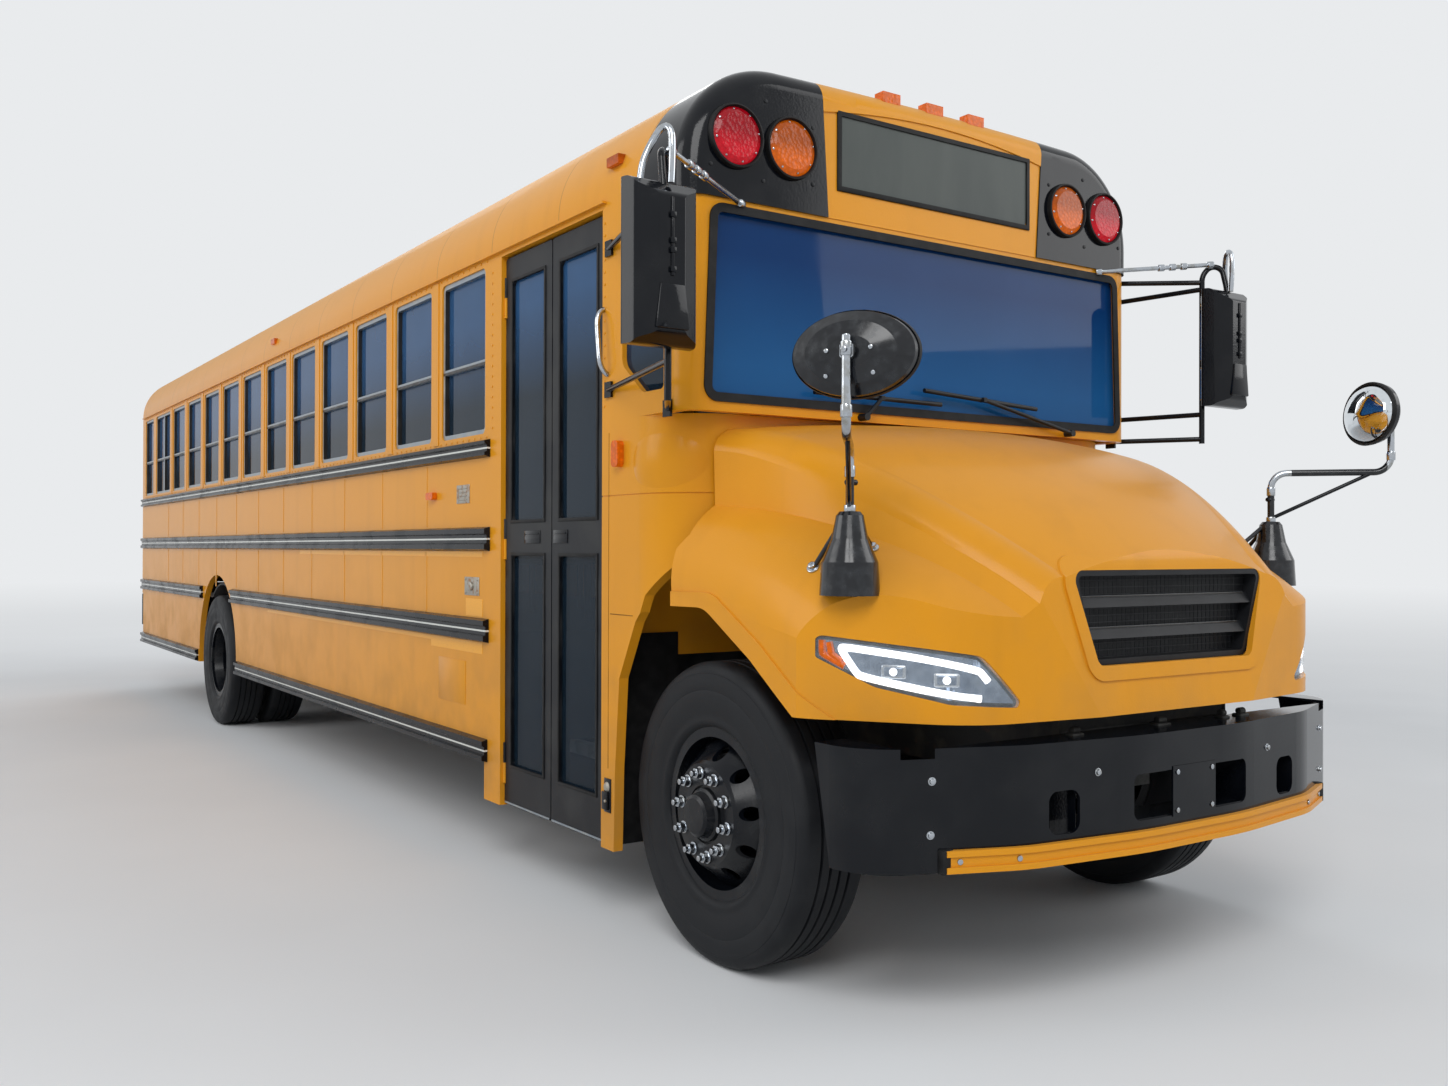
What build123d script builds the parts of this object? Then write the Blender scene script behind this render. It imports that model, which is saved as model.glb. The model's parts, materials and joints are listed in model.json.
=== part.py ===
from build123d import *
import math
import os

# Conventional school bus, in millimetres. The pieces are made with Y = 0 on the front axle and
# Z = 0 on the ground. The bus faces -Y and its entrance door is on the -X side.

# Overall body
body_half = 1190
wall = 45
body_rear = 10600
wall_end = body_rear - wall
skirt_z = 460
floor_top = 1060
floor_thick = 40
gutter_z = 2765
crown_z = 3205
roof_corner_radius = 410
roof_wall = 40
seat_gap = 0.3

# Running gear
tyre_radius = 525
tyre_half = 139.5
bead_radius = 290
front_wheel_x = 985
kingpin_x = 835
rear_axle_y = 7190
dual_inner_x = 735
dual_outer_x = 1055
hub_clearance = 0.4

# Frame rails
rail_outer = 432
rail_flange = 76
rail_web = 8
rail_bottom = 700
rail_top = 955
rail_front = -940
rail_end = body_rear - seat_gap

# Windows of the side walls
window_first = 1780
window_pitch = 672
window_width = 530
window_count = 11
exit_window_width = 700
last_window_width = 430
window_bottom = 1967
window_top = 2731
mid_rail_z = 2300
sash = 22
driver_window = (760, 1640)

# Entrance door
door_front = 668
door_rear = 1594
door_bottom = 300
door_top = 2733
door_face = 1170
door_thick = 35
door_meeting_gap = 8
door_stile = 68
door_glass_upper = (1560, 2625)
door_glass_lower = (475, 1410)
pillar_front = 560
pillar_rear = 660
rear_pillar_front = 1602
pillar_bottom = 290

# Cowl and windshield
cowl_front = 115
cowl_corner = 260
cowl_top = 1925
blister_z = (1645, 1868)
blister_angle = 25
blister_radius = 224
blister_stand = 14
crease_z = 1637
crease_width = 5
crease_depth = 3
shelf_z = 1500
firewall_y = 618
screen_front = 60
screen_corner = 90
screen_bottom = 1975
screen_top = 2645
screen_half = 1075
cap_bottom = 2680
cap_rear = 355
lamp_panel_inner = 560
glass_thick = 8

# Rear wheel arch
arch_z = 560
arch_radius = 655

# Bumpers
bumper_face = -1120
bumper_top = 865
bumper_bottom = 505
bumper_wall = 10
guard_stand = 20
rear_bumper_depth = 90

front_end = bumper_face - guard_stand
rear_end = body_rear + rear_bumper_depth
middle_y = (front_end + rear_end) / 2


def save(name, *solids):
    """Writes the solids of one sub-part, moved so that the origin is under the middle of the bus."""
    flat = []
    for solid in solids:
        flat.extend(solid.solids())
    moved = [s.moved(Location((0, -middle_y, 0))) for s in flat]
    os.makedirs("parts", exist_ok=True)
    export_step(Compound(moved), "parts/" + name + ".step")


def block(x0, x1, y0, y1, z0, z1):
    """A box between two values on each axis."""
    size = (x1 - x0, y1 - y0, z1 - z0)
    centre = ((x0 + x1) / 2, (y0 + y1) / 2, (z0 + z1) / 2)
    return Pos(*centre) * Box(*size)


def outline(points, radii, place):
    """A face from 2D points with rounded corners, put in space by the place function."""
    corners = [place(u, v) for u, v in points]
    if radii:
        return make_face(FilletPolyline(*corners, radius=radii, close=True))
    return make_face(Polyline(*corners, close=True))


def slab_x(points, x0, x1, radii=0):
    """An outline of (y, z) points drawn from x0 to x1."""
    face = outline(points, radii, lambda u, v: (x0, u, v))
    return extrude(face, amount=x1 - x0, dir=(1, 0, 0))


def slab_y(points, y0, y1, radii=0):
    """An outline of (x, z) points drawn from y0 to y1."""
    face = outline(points, radii, lambda u, v: (u, y0, v))
    return extrude(face, amount=y1 - y0, dir=(0, 1, 0))


def slab_z(points, z0, z1, radii=0):
    """An outline of (x, y) points drawn from z0 to z1."""
    face = outline(points, radii, lambda u, v: (u, v, z0))
    return extrude(face, amount=z1 - z0, dir=(0, 0, 1))


def rectangle(u0, u1, v0, v1):
    """The four corners of a rectangle."""
    return [(u0, v0), (u1, v0), (u1, v1), (u0, v1)]


def rod(start, end, radius):
    """A round bar between two points."""
    line = Vector(*end) - Vector(*start)
    plane = Plane(origin=start, z_dir=line)
    return extrude(plane * Circle(radius), amount=line.length, dir=line.normalized())


def tube_path(points, bends, radius):
    """A round tube along straight runs joined by arcs."""
    path = FilletPolyline(*points, radius=bends)
    plane = Plane(origin=points[0], z_dir=path % 0)
    return sweep(plane * Circle(radius), path=path)


def both_sides(solid):
    """The solid and its mirror image on the other side of the bus."""
    return [solid, mirror(solid, about=Plane.YZ)]


def post(x, y, z0, z1, radius):
    """An upright round bar between two heights."""
    return Pos(x, y, (z0 + z1) / 2) * Cylinder(radius, z1 - z0)


# Hinges: barrel length, then barrel and pin radius of the entrance and the emergency door
hinge_length = 90
running_gap = 0.4
leaf_barrel, leaf_pin = 7, 4
leaf_heights = (480, 1480, 2560)
rear_barrel, rear_pin = 9, 5
rear_heights = (1300, 1850, 2450)


def fixed_barrel(x, y, z, barrel, pin):
    """The lower barrel of a hinge with the pin that stands in the upper one."""
    return post(x, y, z - hinge_length, z, barrel) + post(
        x, y, z - hinge_length / 2, z + 0.9 * hinge_length, pin
    )


def hang(leaf, x, y, heights, barrel, pin):
    """Gives a leaf its upper barrels and clears it round the lower ones."""
    for z in heights:
        leaf = leaf - post(x, y, z - hinge_length - 5, z + running_gap, barrel + 5)
        leaf = leaf + post(x, y, z + running_gap, z + hinge_length, barrel)
        leaf = leaf - post(x, y, z, z + hinge_length + 1, pin + running_gap)
    return leaf


def roof_form(inset, y0, y1, z_low):
    """The body's cross-section above z_low, drawn from y0 to y1."""
    half = body_half - inset
    corner = roof_corner_radius - inset
    corner_x = body_half - roof_corner_radius
    corner_z = gutter_z + 20
    rise = crown_z - corner_z
    crown_radius = (corner_x**2 + rise**2 - roof_corner_radius**2) / (2 * (rise - roof_corner_radius))
    centre_z = crown_z - crown_radius
    slope = math.atan2(corner_z - centre_z, corner_x)
    middle = slope / 2
    join = (corner_x + corner * math.cos(slope), corner_z + corner * math.sin(slope))
    bend = (corner_x + corner * math.cos(middle), corner_z + corner * math.sin(middle))
    wire = [
        Line((half, y0, z_low), (half, y0, corner_z)),
        ThreePointArc((half, y0, corner_z), (bend[0], y0, bend[1]), (join[0], y0, join[1])),
        ThreePointArc((join[0], y0, join[1]), (0, y0, crown_z - inset), (-join[0], y0, join[1])),
        ThreePointArc((-join[0], y0, join[1]), (-bend[0], y0, bend[1]), (-half, y0, corner_z)),
        Line((-half, y0, corner_z), (-half, y0, z_low)),
        Line((-half, y0, z_low), (half, y0, z_low)),
    ]
    face = make_face(Curve() + wire)
    return extrude(face, amount=y1 - y0, dir=(0, 1, 0))


# Hood and fenders: one row for each cross-section, from the windshield to the nose.
# y, fender side x and z, fender shoulder x and z, crease x and z, hood side x and z,
# hood top edge x and z, crown z
hood_sections = [
    (150, 1188, 1285, 1150, 1480, 1042, 1595, 1046, 1790, 965, 1872, 1928),
    (-200, 1188, 1230, 1140, 1425, 990, 1565, 985, 1725, 890, 1822, 1886),
    (-500, 1184, 1180, 1110, 1370, 935, 1505, 900, 1605, 790, 1705, 1792),
    (-780, 1165, 1110, 1060, 1280, 835, 1405, 775, 1460, 650, 1540, 1632),
    (-1110, 1100, 1000, 905, 1120, 650, 1162, 600, 1215, 480, 1300, 1360),
]
hood_bottom = 925
hood_wall = 14
hood_rear = 108
nose_plan = [(1300, 700), (1196, -560), (870, -1010), (260, -1090)]
nose_plan_radii = [10, 330, 330, 1500]
nose_side = [(-1092, 700), (-1030, 1425), (-600, 2100), (700, 2100), (700, 700)]
nose_side_radii = [5, 130, 5, 5, 5]
seam = [(700, 700), (360, 1200), (330, 1262), (190, 1390), (hood_rear, 1490), (hood_rear, 2100)]


def hood_section(row, inset):
    """One closed cross-section of the hood form, inset evenly."""
    y, fx, fz, tx, tz, cx, cz, sx, sz, ex, ez, crown = row
    fx, tx, cx, sx, ex = [value - inset for value in (fx, tx, cx, sx, ex)]
    tz, cz, ez, crown = [value - inset for value in (tz, cz, ez, crown)]
    low = 600

    def bow(a, b, out):
        mid = ((a[0] + b[0]) / 2, (a[1] + b[1]) / 2)
        return (mid[0] + (b[1] - a[1]) * -out, mid[1] + (b[0] - a[0]) * out)

    a, b, c, d, e, f = (fx, low), (fx, fz), (tx, tz), (cx, cz), (sx, sz), (ex, ez)
    m2 = bow(e, f, -0.17)
    right = [
        Line((a[0], y, a[1]), (b[0], y, b[1])),
        ThreePointArc((b[0], y, b[1]), (c[0], y, c[1]), (d[0], y, d[1])),
        Line((d[0], y, d[1]), (e[0], y, e[1])),
        ThreePointArc((e[0], y, e[1]), (m2[0], y, m2[1]), (f[0], y, f[1])),
    ]
    top = [ThreePointArc((f[0], y, f[1]), (0, y, crown), (-f[0], y, f[1]))]
    left = [
        ThreePointArc((-f[0], y, f[1]), (-m2[0], y, m2[1]), (-e[0], y, e[1])),
        Line((-e[0], y, e[1]), (-d[0], y, d[1])),
        ThreePointArc((-d[0], y, d[1]), (-c[0], y, c[1]), (-b[0], y, b[1])),
        Line((-b[0], y, b[1]), (-a[0], y, a[1])),
        Line((-a[0], y, a[1]), (a[0], y, a[1])),
    ]
    return make_face(Curve() + right + top + left)


made_forms = {}


def hood_form(inset):
    """The closed outer form of hood and fenders, inset evenly from the skin and kept once made."""
    if inset in made_forms:
        return made_forms[inset]
    form = loft([hood_section(row, inset) for row in hood_sections])
    plan_right = [(x - inset, y + inset) for x, y in nose_plan]
    plan_left = [(-x, y) for x, y in reversed(plan_right)]
    plan_radii = nose_plan_radii + nose_plan_radii[::-1]
    plan = slab_z(plan_right + plan_left, 500, 2200, plan_radii)
    side_points = [(y + inset, z) if y < -900 else (y, z) for y, z in nose_side]
    side = slab_x(side_points, -1400, 1400, nose_side_radii)
    made_forms[inset] = form & plan & side
    return made_forms[inset]


def wheel_arch(grow, x0, x1):
    """The front wheel opening in side view, grown outwards."""
    points = [
        (700, 0),
        (500 + grow, 950),
        (375 + grow, 1175 + grow),
        (300 + grow, 1236 + grow),
        (-60 - grow, 1240 + grow),
        (-330 - grow, 1085 + grow),
        (-640 - grow, 860 + grow),
        (-700 - grow, 0),
    ]
    return slab_x(points, x0, x1, [5, 60, 40, 60, 160, 120, 60, 5])


grille_outline = [(393, 1080), (491, 1376), (-491, 1376), (-393, 1080)]
grille_radii = 34
grille_surround = 46
surround_stand = 7
flare_width = 52
flare_stand = 6
lamp_outline = [(1152, 1180), (832, 1126), (688, 970), (905, 983), (1045, 1028), (1152, 1112)]
lamp_radii = [14, 40, 14, 60, 60, 14]


def grown(points, radii, grow, y0, y1):
    """A front-view outline grown by an offset and drawn along Y."""
    face = outline(points, radii, lambda u, v: (u, y0, v))
    if grow:
        face = offset(face, amount=grow)
    return extrude(face, amount=y1 - y0, dir=(0, 1, 0))


def build_hood():
    """Hood with both fenders, hollow, open below and behind."""
    outer = hood_form(0)
    inner = hood_form(hood_wall)
    shell = outer - inner
    raised = hood_form(-flare_stand) - hood_form(hood_wall / 2)
    for x0, x1 in ((560, 1300), (-1300, -560)):
        shell = shell + (raised & wheel_arch(flare_width, x0, x1))
    raised = hood_form(-surround_stand) - hood_form(hood_wall / 2)
    shell = shell + (raised & grown(grille_outline, grille_radii, grille_surround, -1300, -900))
    seam_cut = slab_x(seam, -1400, 1400)
    shell = shell - seam_cut
    shell = shell - block(-1400, 1400, -1400, 900, 500, hood_bottom)
    for x0, x1 in ((560, 1300), (-1300, -560)):
        shell = shell - wheel_arch(0, x0, x1)
    shell = shell - grown(grille_outline, grille_radii, 0, -1300, -900)
    for side in (1, -1):
        points = [(side * x, z) for x, z in lamp_outline]
        shell = shell - grown(points, lamp_radii, 0.5, -1300, -500)
    solids = sorted(shell.solids(), key=lambda s: s.volume)
    return solids[-1], outer


def build_headlamps():
    """Two lamp units that follow the corner of the fenders."""
    skin = hood_form(3) - hood_form(75)
    lamps = []
    for side in (1, -1):
        points = [(side * x, z) for x, z in lamp_outline]
        lamp = grown(points, lamp_radii, 0, -1300, -500) & skin
        solids = sorted(lamp.solids(), key=lambda s: s.volume)
        lamps.append(solids[-1])
    return lamps


def build_grille():
    """Recessed frame with its back panel and the slats in front."""
    frame_front = -1040
    depth = 60
    grille = grown(grille_outline, grille_radii, -0.5, frame_front, frame_front + depth)
    grille = grille - grown(grille_outline, grille_radii, -18, frame_front, frame_front + depth - 12)
    low, high = grille_outline[0][1], grille_outline[1][1]
    slats = 2
    slat_half = 18
    slat_depth = 34
    slat_front = frame_front + 4
    pitch = (high - low) / (slats + 1)
    space = grown(grille_outline, grille_radii, -9, frame_front, frame_front + depth)
    for number in range(slats):
        z = low + pitch * (number + 1)
        section = [
            (slat_front, z - slat_half),
            (slat_front + 8, z - slat_half),
            (slat_front + slat_depth, z + slat_half - 4),
            (slat_front + slat_depth - 8, z + slat_half),
        ]
        grille = grille + (slab_x(section, -480, 480) & space)
    return grille


def build_fender_liners():
    """Arched splash liners inside the front fenders."""
    liners = []
    for x0, x1 in ((600, 1172), (-1172, -600)):
        band = wheel_arch(12, x0, x1) - wheel_arch(7, x0, x1)
        band = band - block(-1300, 1300, -1200, 700, 0, 1000)
        band = band & hood_form(hood_wall + seat_gap)
        band = band - slab_x([(y - 20, z) for y, z in seam], -1400, 1400)
        solids = sorted(band.solids(), key=lambda s: s.volume)
        liners.append(solids[-1])
    return liners


# Crossview mirrors on the fenders
mirror_base = (1085, -700)
mirror_elbow_z = 1745
mirror_head = (1300, -980, 1970)
mirror_turn = 57
mirror_tube_stand = 84
mirror_rod_radius = 13
mirror_oval = (180, 120)
mirror_dish = [(0, 1.0), (-24, 0.96), (-50, 0.72), (-64, 0.36)]


def build_crossview_mirrors(form):
    """A cone foot, a bent rod, braces and an oval head on each fender."""
    bx, by = mirror_base
    hx, hy, hz = mirror_head
    bell = [(0, 1300), (92, 1300), (86, 1400), (56, 1470), (42, 1540), (32, 1552), (0, 1552)]
    foot = revolve(make_face(Polyline(*[(r, 0, z) for r, z in bell], close=True)), axis=Axis.Z)
    foot = Pos(bx, by, 0) * foot - form
    foot = sorted(foot.solids(), key=lambda s: s.volume)[-1]
    turn = math.radians(mirror_turn)
    tx = hx + mirror_tube_stand * math.sin(turn)
    ty = hy - mirror_tube_stand * math.cos(turn)
    arm = tube_path(
        [(bx, by, 1440), (bx, by, mirror_elbow_z), (tx, ty, mirror_elbow_z), (tx, ty, hz + 40)],
        [60, 60],
        mirror_rod_radius,
    )
    piece = foot + arm
    for dx, dy in ((-190, 80), (5, 150)):
        strut = rod((bx, by, 1560), (bx + dx * 1.5, by + dy * 1.5, 1320), 8) - form
        strut = sorted(strut.solids(), key=lambda s: s.volume)[-1]
        piece = piece + strut
    ovals = []
    for depth, share in mirror_dish:
        origin = (hx - depth * math.sin(turn), hy + depth * math.cos(turn), hz)
        plane = Plane(
            origin=origin,
            x_dir=(math.cos(turn), math.sin(turn), 0),
            z_dir=(math.sin(turn), -math.cos(turn), 0),
        )
        ovals.append(plane * Ellipse(mirror_oval[0] * share, mirror_oval[1] * share))
    head = loft(ovals, ruled=True)
    clamp = rod((tx, ty, hz), (hx + 50 * math.sin(turn), hy - 50 * math.cos(turn), hz), 24)
    piece = piece + head + clamp
    return both_sides(piece)


def swell():
    """A turned form that stands out of the cowl's corner as a soft blister."""
    low, high = blister_z
    edge = blister_radius - blister_stand - 4
    bow = ThreePointArc((edge, 0, low), (blister_radius, 0, (low + high) / 2), (edge, 0, high))
    rest = Polyline((edge, 0, high), (0, 0, high), (0, 0, low), (edge, 0, low))
    return revolve(make_face(Curve() + [bow] + rest.edges()), axis=Axis.Z)


def build_cowl():
    """Front body: firewall, shelf, cowl skin, windshield frame and corner posts."""
    low = pillar_bottom
    plan = [
        (body_half, pillar_rear),
        (body_half, cowl_front),
        (-body_half, cowl_front),
        (-body_half, pillar_rear),
    ]
    inner = wall - 5
    plan_in = [
        (body_half - inner, pillar_rear + 50),
        (body_half - inner, cowl_front + inner),
        (-body_half + inner, cowl_front + inner),
        (-body_half + inner, pillar_rear + 50),
    ]
    skin = slab_z(plan, low, cowl_top, [1, cowl_corner, cowl_corner, 1])
    skin = skin - slab_z(plan_in, low, cowl_top, [1, cowl_corner - inner, cowl_corner - inner, 1])
    side = [
        (pillar_rear, low),
        (pillar_front, low),
        (pillar_front - 10, 600),
        (520, 950),
        (400, 1170),
        (365, 1205),
        (330 + 6, 1262 + 6),
        (190 + 6, 1390 + 6),
        (hood_rear + 6, 1494),
        (hood_rear + 6, cowl_top),
        (pillar_rear, cowl_top),
    ]
    for side_sign in (1, -1):
        lean = math.radians(blister_angle)
        shift = cowl_corner + blister_stand - blister_radius
        x = side_sign * (body_half - cowl_corner + shift * math.cos(lean))
        y = cowl_front + cowl_corner - shift * math.sin(lean)
        skin = skin + Pos(x, y, 0) * swell()
    skin = skin - slab_z(plan_in, low, cowl_top, [1, cowl_corner - inner, cowl_corner - inner, 1])
    shallow = slab_z(plan, crease_z, crease_z + crease_width, [1, cowl_corner, cowl_corner, 1])
    deep = [
        (x - math.copysign(crease_depth, x), y + (crease_depth if y < 300 else 0)) for x, y in plan
    ]
    skin = skin - (shallow - slab_z(deep, crease_z - 1, crease_z + 10, [1, cowl_corner, cowl_corner, 1]))
    skin = skin & slab_x(side, -1300, 1300)
    left_step = block(0, 1300, 0, 900, 0, skirt_z)
    skin = skin - left_step
    half_in = body_half - inner
    firewall = block(-half_in, half_in, firewall_y, firewall_y + 25, floor_top - floor_thick, shelf_z + 20)
    shelf = block(-1000, 1000, cowl_front + 20, firewall_y + 25, shelf_z, shelf_z + 20)
    plenum = slab_z(plan, cowl_top - 20, cowl_top, [1, cowl_corner, cowl_corner, 1])
    plenum = plenum - block(-1000, 1000, 420, 900, cowl_top - 50, cowl_top + 10)
    upper = [
        (body_half, pillar_rear),
        (body_half, screen_front),
        (-body_half, screen_front),
        (-body_half, pillar_rear),
    ]
    upper_in = [
        (body_half - wall, pillar_rear + 50),
        (body_half - wall, screen_front + wall),
        (-body_half + wall, screen_front + wall),
        (-body_half + wall, pillar_rear + 50),
    ]
    frame_wall = slab_z(upper, cowl_top, cap_bottom, [1, screen_corner, screen_corner, 1])
    frame_wall = frame_wall - slab_z(
        upper_in, cowl_top, cap_bottom, [1, screen_corner - wall, screen_corner - wall, 1]
    )
    opening = [
        (screen_half + 25, screen_bottom),
        (screen_half, screen_top),
        (-screen_half, screen_top),
        (-screen_half - 25, screen_bottom),
    ]
    frame_wall = frame_wall - slab_y(opening, -50, screen_front + wall + 20, 40)
    quarter = [(205, 2010), (350, 2010), (505, 2130), (505, screen_top), (205, screen_top)]
    frame_wall = frame_wall - slab_x(quarter, -1300, 1300, [20, 60, 60, 20, 20])
    cowl = skin + firewall + shelf + plenum + frame_wall
    door_header = block(
        -body_half, -body_half + wall, pillar_rear - 1, rear_pillar_front, door_top + 12, gutter_z
    )
    posts = block(-body_half, -body_half + wall, cap_rear, pillar_rear, cap_bottom, gutter_z)
    left_head = block(body_half - wall, body_half, cap_rear, pillar_rear, cap_bottom, gutter_z)
    cowl = cowl + door_header + posts + left_head
    for z in leaf_heights:
        tab = block(-door_face - 5, -door_face + 5, pillar_rear - 10, door_front, z - hinge_length, z)
        cowl = cowl + tab + fixed_barrel(-door_face, door_front, z, leaf_barrel, leaf_pin)
    return cowl, opening, quarter


def build_front_glass(opening, quarter):
    """Windshield and the two quarter panes, set in their openings."""
    face = outline(opening, 40, lambda u, v: (u, screen_front + 14, v))
    face = offset(face, amount=-seat_gap)
    screen = extrude(face, amount=glass_thick, dir=(0, 1, 0))
    panes = []
    for x0 in (body_half - 28, -body_half + 20):
        pane = outline(quarter, [20, 60, 60, 20, 20], lambda u, v: (x0, u, v))
        pane = offset(pane, amount=-seat_gap)
        panes.append(extrude(pane, amount=glass_thick, dir=(1, 0, 0)))
    return [screen] + panes


def build_cap():
    """Front roof cap: the yellow middle and the two black lamp panels."""
    outer = cap_form(0)
    inner = roof_form(roof_wall, screen_front + 30, cap_rear + 50, cap_bottom - 10)
    shell = outer - inner
    split = 0.2
    slope = 45
    middle_zone = slab_y(
        [
            (lamp_panel_inner - split, 2600),
            (lamp_panel_inner + slope - split, 3300),
            (-lamp_panel_inner - slope + split, 3300),
            (-lamp_panel_inner + split, 2600),
        ],
        -100,
        500,
    )
    middle = shell & middle_zone
    panel_zone = slab_y(
        [
            (lamp_panel_inner + split, 2600),
            (lamp_panel_inner + slope + split, 3300),
            (1400, 3300),
            (1400, 2600),
        ],
        -100,
        500,
    )
    panel = shell & panel_zone
    for x, z in warning_lamps:
        panel = panel - Pos(x, screen_front - 10, z) * Rot(90, 0, 0) * Cylinder(
            lamp_radius + 14, 2 * lamp_recess
        )
    reach = lamp_panel_inner + 80
    low_arc = ThreePointArc((-reach, -100, brow_end_z), (0, -100, brow_middle_z), (reach, -100, brow_end_z))
    low_edge = Polyline(
        (reach, -100, brow_end_z),
        (reach, -100, cap_bottom - 10),
        (-reach, -100, cap_bottom - 10),
        (-reach, -100, brow_end_z),
    )
    sunk = make_face(Curve() + [low_arc] + low_edge.edges())
    middle = middle - extrude(sunk, amount=100 + screen_front - 10 + brow_depth, dir=(0, 1, 0))
    sign_hole = slab_y(sign_outline, -100, screen_front + 2, 20)
    middle = middle - sign_hole
    return middle, both_sides(panel)


warning_lamps = [(744, 2903), (990, 2903)]
lamp_radius = 102
lamp_recess = 15
brow_middle_z = 3122
brow_end_z = 3062
brow_depth = 6
sign_outline = [(500, 2800), (512, 3078), (-512, 3078), (-500, 2800)]


def lamp_disc(x, z, face_y, direction):
    """A round warning lamp with a shallow lens, facing along Y."""
    body = Cylinder(lamp_radius, 26)
    lens = Pos(0, 0, 13) * Cone(
        lamp_radius, lamp_radius - 22, 14, align=(Align.CENTER, Align.CENTER, Align.MIN)
    )
    lamp = body + lens
    turn = Rot(90, 0, 0) if direction < 0 else Rot(-90, 0, 0)
    return Pos(x, face_y, z) * turn * lamp


def build_roof():
    """Roof shell with drip rails."""
    shell = roof_form(0, cap_rear + seat_gap, wall_end, gutter_z) - roof_form(
        roof_wall, cap_rear - 10, wall_end + 10, gutter_z - 10
    )
    for side in (1, -1):
        low, high = sorted((side * (body_half - 5), side * (body_half + 18)))
        shell = shell + block(low, high, pillar_rear - 30, wall_end, gutter_z, gutter_z + 8)
    return shell


def window_table():
    """Start and width of each side window, from the front."""
    rows = [(window_first + window_pitch * number, window_width) for number in range(window_count)]
    exit_start = window_first + window_pitch * window_count
    rows.append((exit_start, exit_window_width))
    post = window_pitch - window_width
    rows.append((exit_start + exit_window_width + post, last_window_width))
    return rows


def side_wall(front_y):
    """The left wall with windows and wheel arch, from front_y to the rear wall."""
    panel = block(body_half - wall, body_half, front_y, wall_end, skirt_z, gutter_z)
    for start, width in window_table():
        hole = slab_x(
            rectangle(start, start + width, window_bottom, window_top),
            body_half - wall - 5,
            body_half + 5,
            30,
        )
        panel = panel - hole
    arch = Pos(body_half - 20, rear_axle_y, arch_z) * Rot(0, 90, 0) * Cylinder(arch_radius, 200)
    panel = panel - arch
    panel = panel - block(0, 1300, rear_axle_y - arch_radius, rear_axle_y + arch_radius, 0, arch_z)
    return panel


def build_left_wall():
    """Left wall, with the driver's window ahead of the passenger windows."""
    panel = side_wall(pillar_rear)
    y0, y1 = driver_window
    driver = slab_x(rectangle(y0, y1, window_bottom, window_top), body_half - wall - 5, body_half + 5, 40)
    return panel - driver


def build_right_wall():
    """Right wall behind the entrance door, with the post that drops to the step."""
    panel = mirror(side_wall(rear_pillar_front), about=Plane.YZ)
    panel = panel + block(
        -body_half, -body_half + wall, rear_pillar_front, rear_pillar_front + 175, pillar_bottom, skirt_z
    )
    for z in leaf_heights:
        tab = block(-door_face - 5, -door_face + 5, door_rear, rear_pillar_front + 10, z - hinge_length, z)
        panel = panel + tab + fixed_barrel(-door_face, door_rear, z, leaf_barrel, leaf_pin)
    return panel


def build_window_frames():
    """A sash frame with a mid rail in each side window, and the glass behind it."""
    frames = []
    panes = []
    front, back = body_half - 30, body_half - 8
    exit_row = window_count
    for number, (start, width) in enumerate(window_table()):
        gap = seat_gap
        ring = slab_x(
            rectangle(start + gap, start + width - gap, window_bottom + gap, window_top - gap),
            front,
            back,
            30,
        )
        ring = ring - slab_x(
            rectangle(start + sash, start + width - sash, window_bottom + sash, window_top - sash),
            front - 5,
            back + 5,
            14,
        )
        ring = ring + block(
            front, back, start + sash - 3, start + width - sash + 3, mid_rail_z - 12, mid_rail_z + 12
        )
        if number == exit_row:
            middle = start + width * 0.45
            ring = ring + block(front, back, middle - 14, middle + 14, window_bottom + 5, window_top - 5)
        frames += both_sides(ring)
        pane = slab_x(
            rectangle(start + gap, start + width - gap, window_bottom + gap, window_top - gap),
            front - glass_thick,
            front,
            30,
        )
        panes += both_sides(pane)
    y0, y1 = driver_window
    fitted = rectangle(y0 + seat_gap, y1 - seat_gap, window_bottom + seat_gap, window_top - seat_gap)
    ring = slab_x(fitted, front, back, 40)
    ring = ring - slab_x(
        rectangle(y0 + sash, y1 - sash, window_bottom + sash, window_top - sash), front - 5, back + 5, 20
    )
    middle = (y0 + y1) / 2
    ring = ring + block(front, back, middle - 14, middle + 14, window_bottom + 5, window_top - 5)
    frames.append(ring)
    panes.append(slab_x(fitted, front - glass_thick, front, 40))
    return frames, panes


# Rub rails: low z, high z, front y on the right, and whether the wheel arch parts it
rub_rails = [
    (1855, 1938, 1720, False),
    (1426, 1537, 1720, False),
    (1006, 1116, 1730, True),
    (462, 566, 1740, True),
]
rail_stand = 29


def build_rub_rails():
    """Ribbed rails along both sides, parted at the wheel arches."""
    pieces = []
    for low, high, start, parted in rub_rails:
        height = high - low
        third = height / 3
        ribs = [
            (body_half, low),
            (body_half + rail_stand, low + 8),
            (body_half + rail_stand, low + third - 6),
            (body_half + rail_stand - 12, low + third),
            (body_half + rail_stand - 12, high - third),
            (body_half + rail_stand, high - third + 6),
            (body_half + rail_stand, high - 8),
            (body_half, high),
        ]
        ends = [(start, wall_end)]
        if parted:
            reach = math.sqrt(max(arch_radius**2 - (low - arch_z) ** 2, 0)) + 45
            ends = [(start, rear_axle_y - reach), (rear_axle_y + reach, wall_end)]
        for y0, y1 in ends:
            rail = slab_y(ribs, y0, y1)
            pieces.append(mirror(rail, about=Plane.YZ))
            y_left = y0 - 900 if y0 == start else y0
            pieces.append(slab_y(ribs, y_left, y1))
    return pieces


# Rear wall and its door
rear_door_half = 470
rear_door_bottom = 1075
rear_door_top = 2640
rear_wall_bottom = rail_top + 10
rear_window = [(560, 1967), (1060, 1967), (1060, 2600), (560, 2600)]
rear_hinge = (-rear_door_half - 3, body_rear + rear_barrel + 2)


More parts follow.
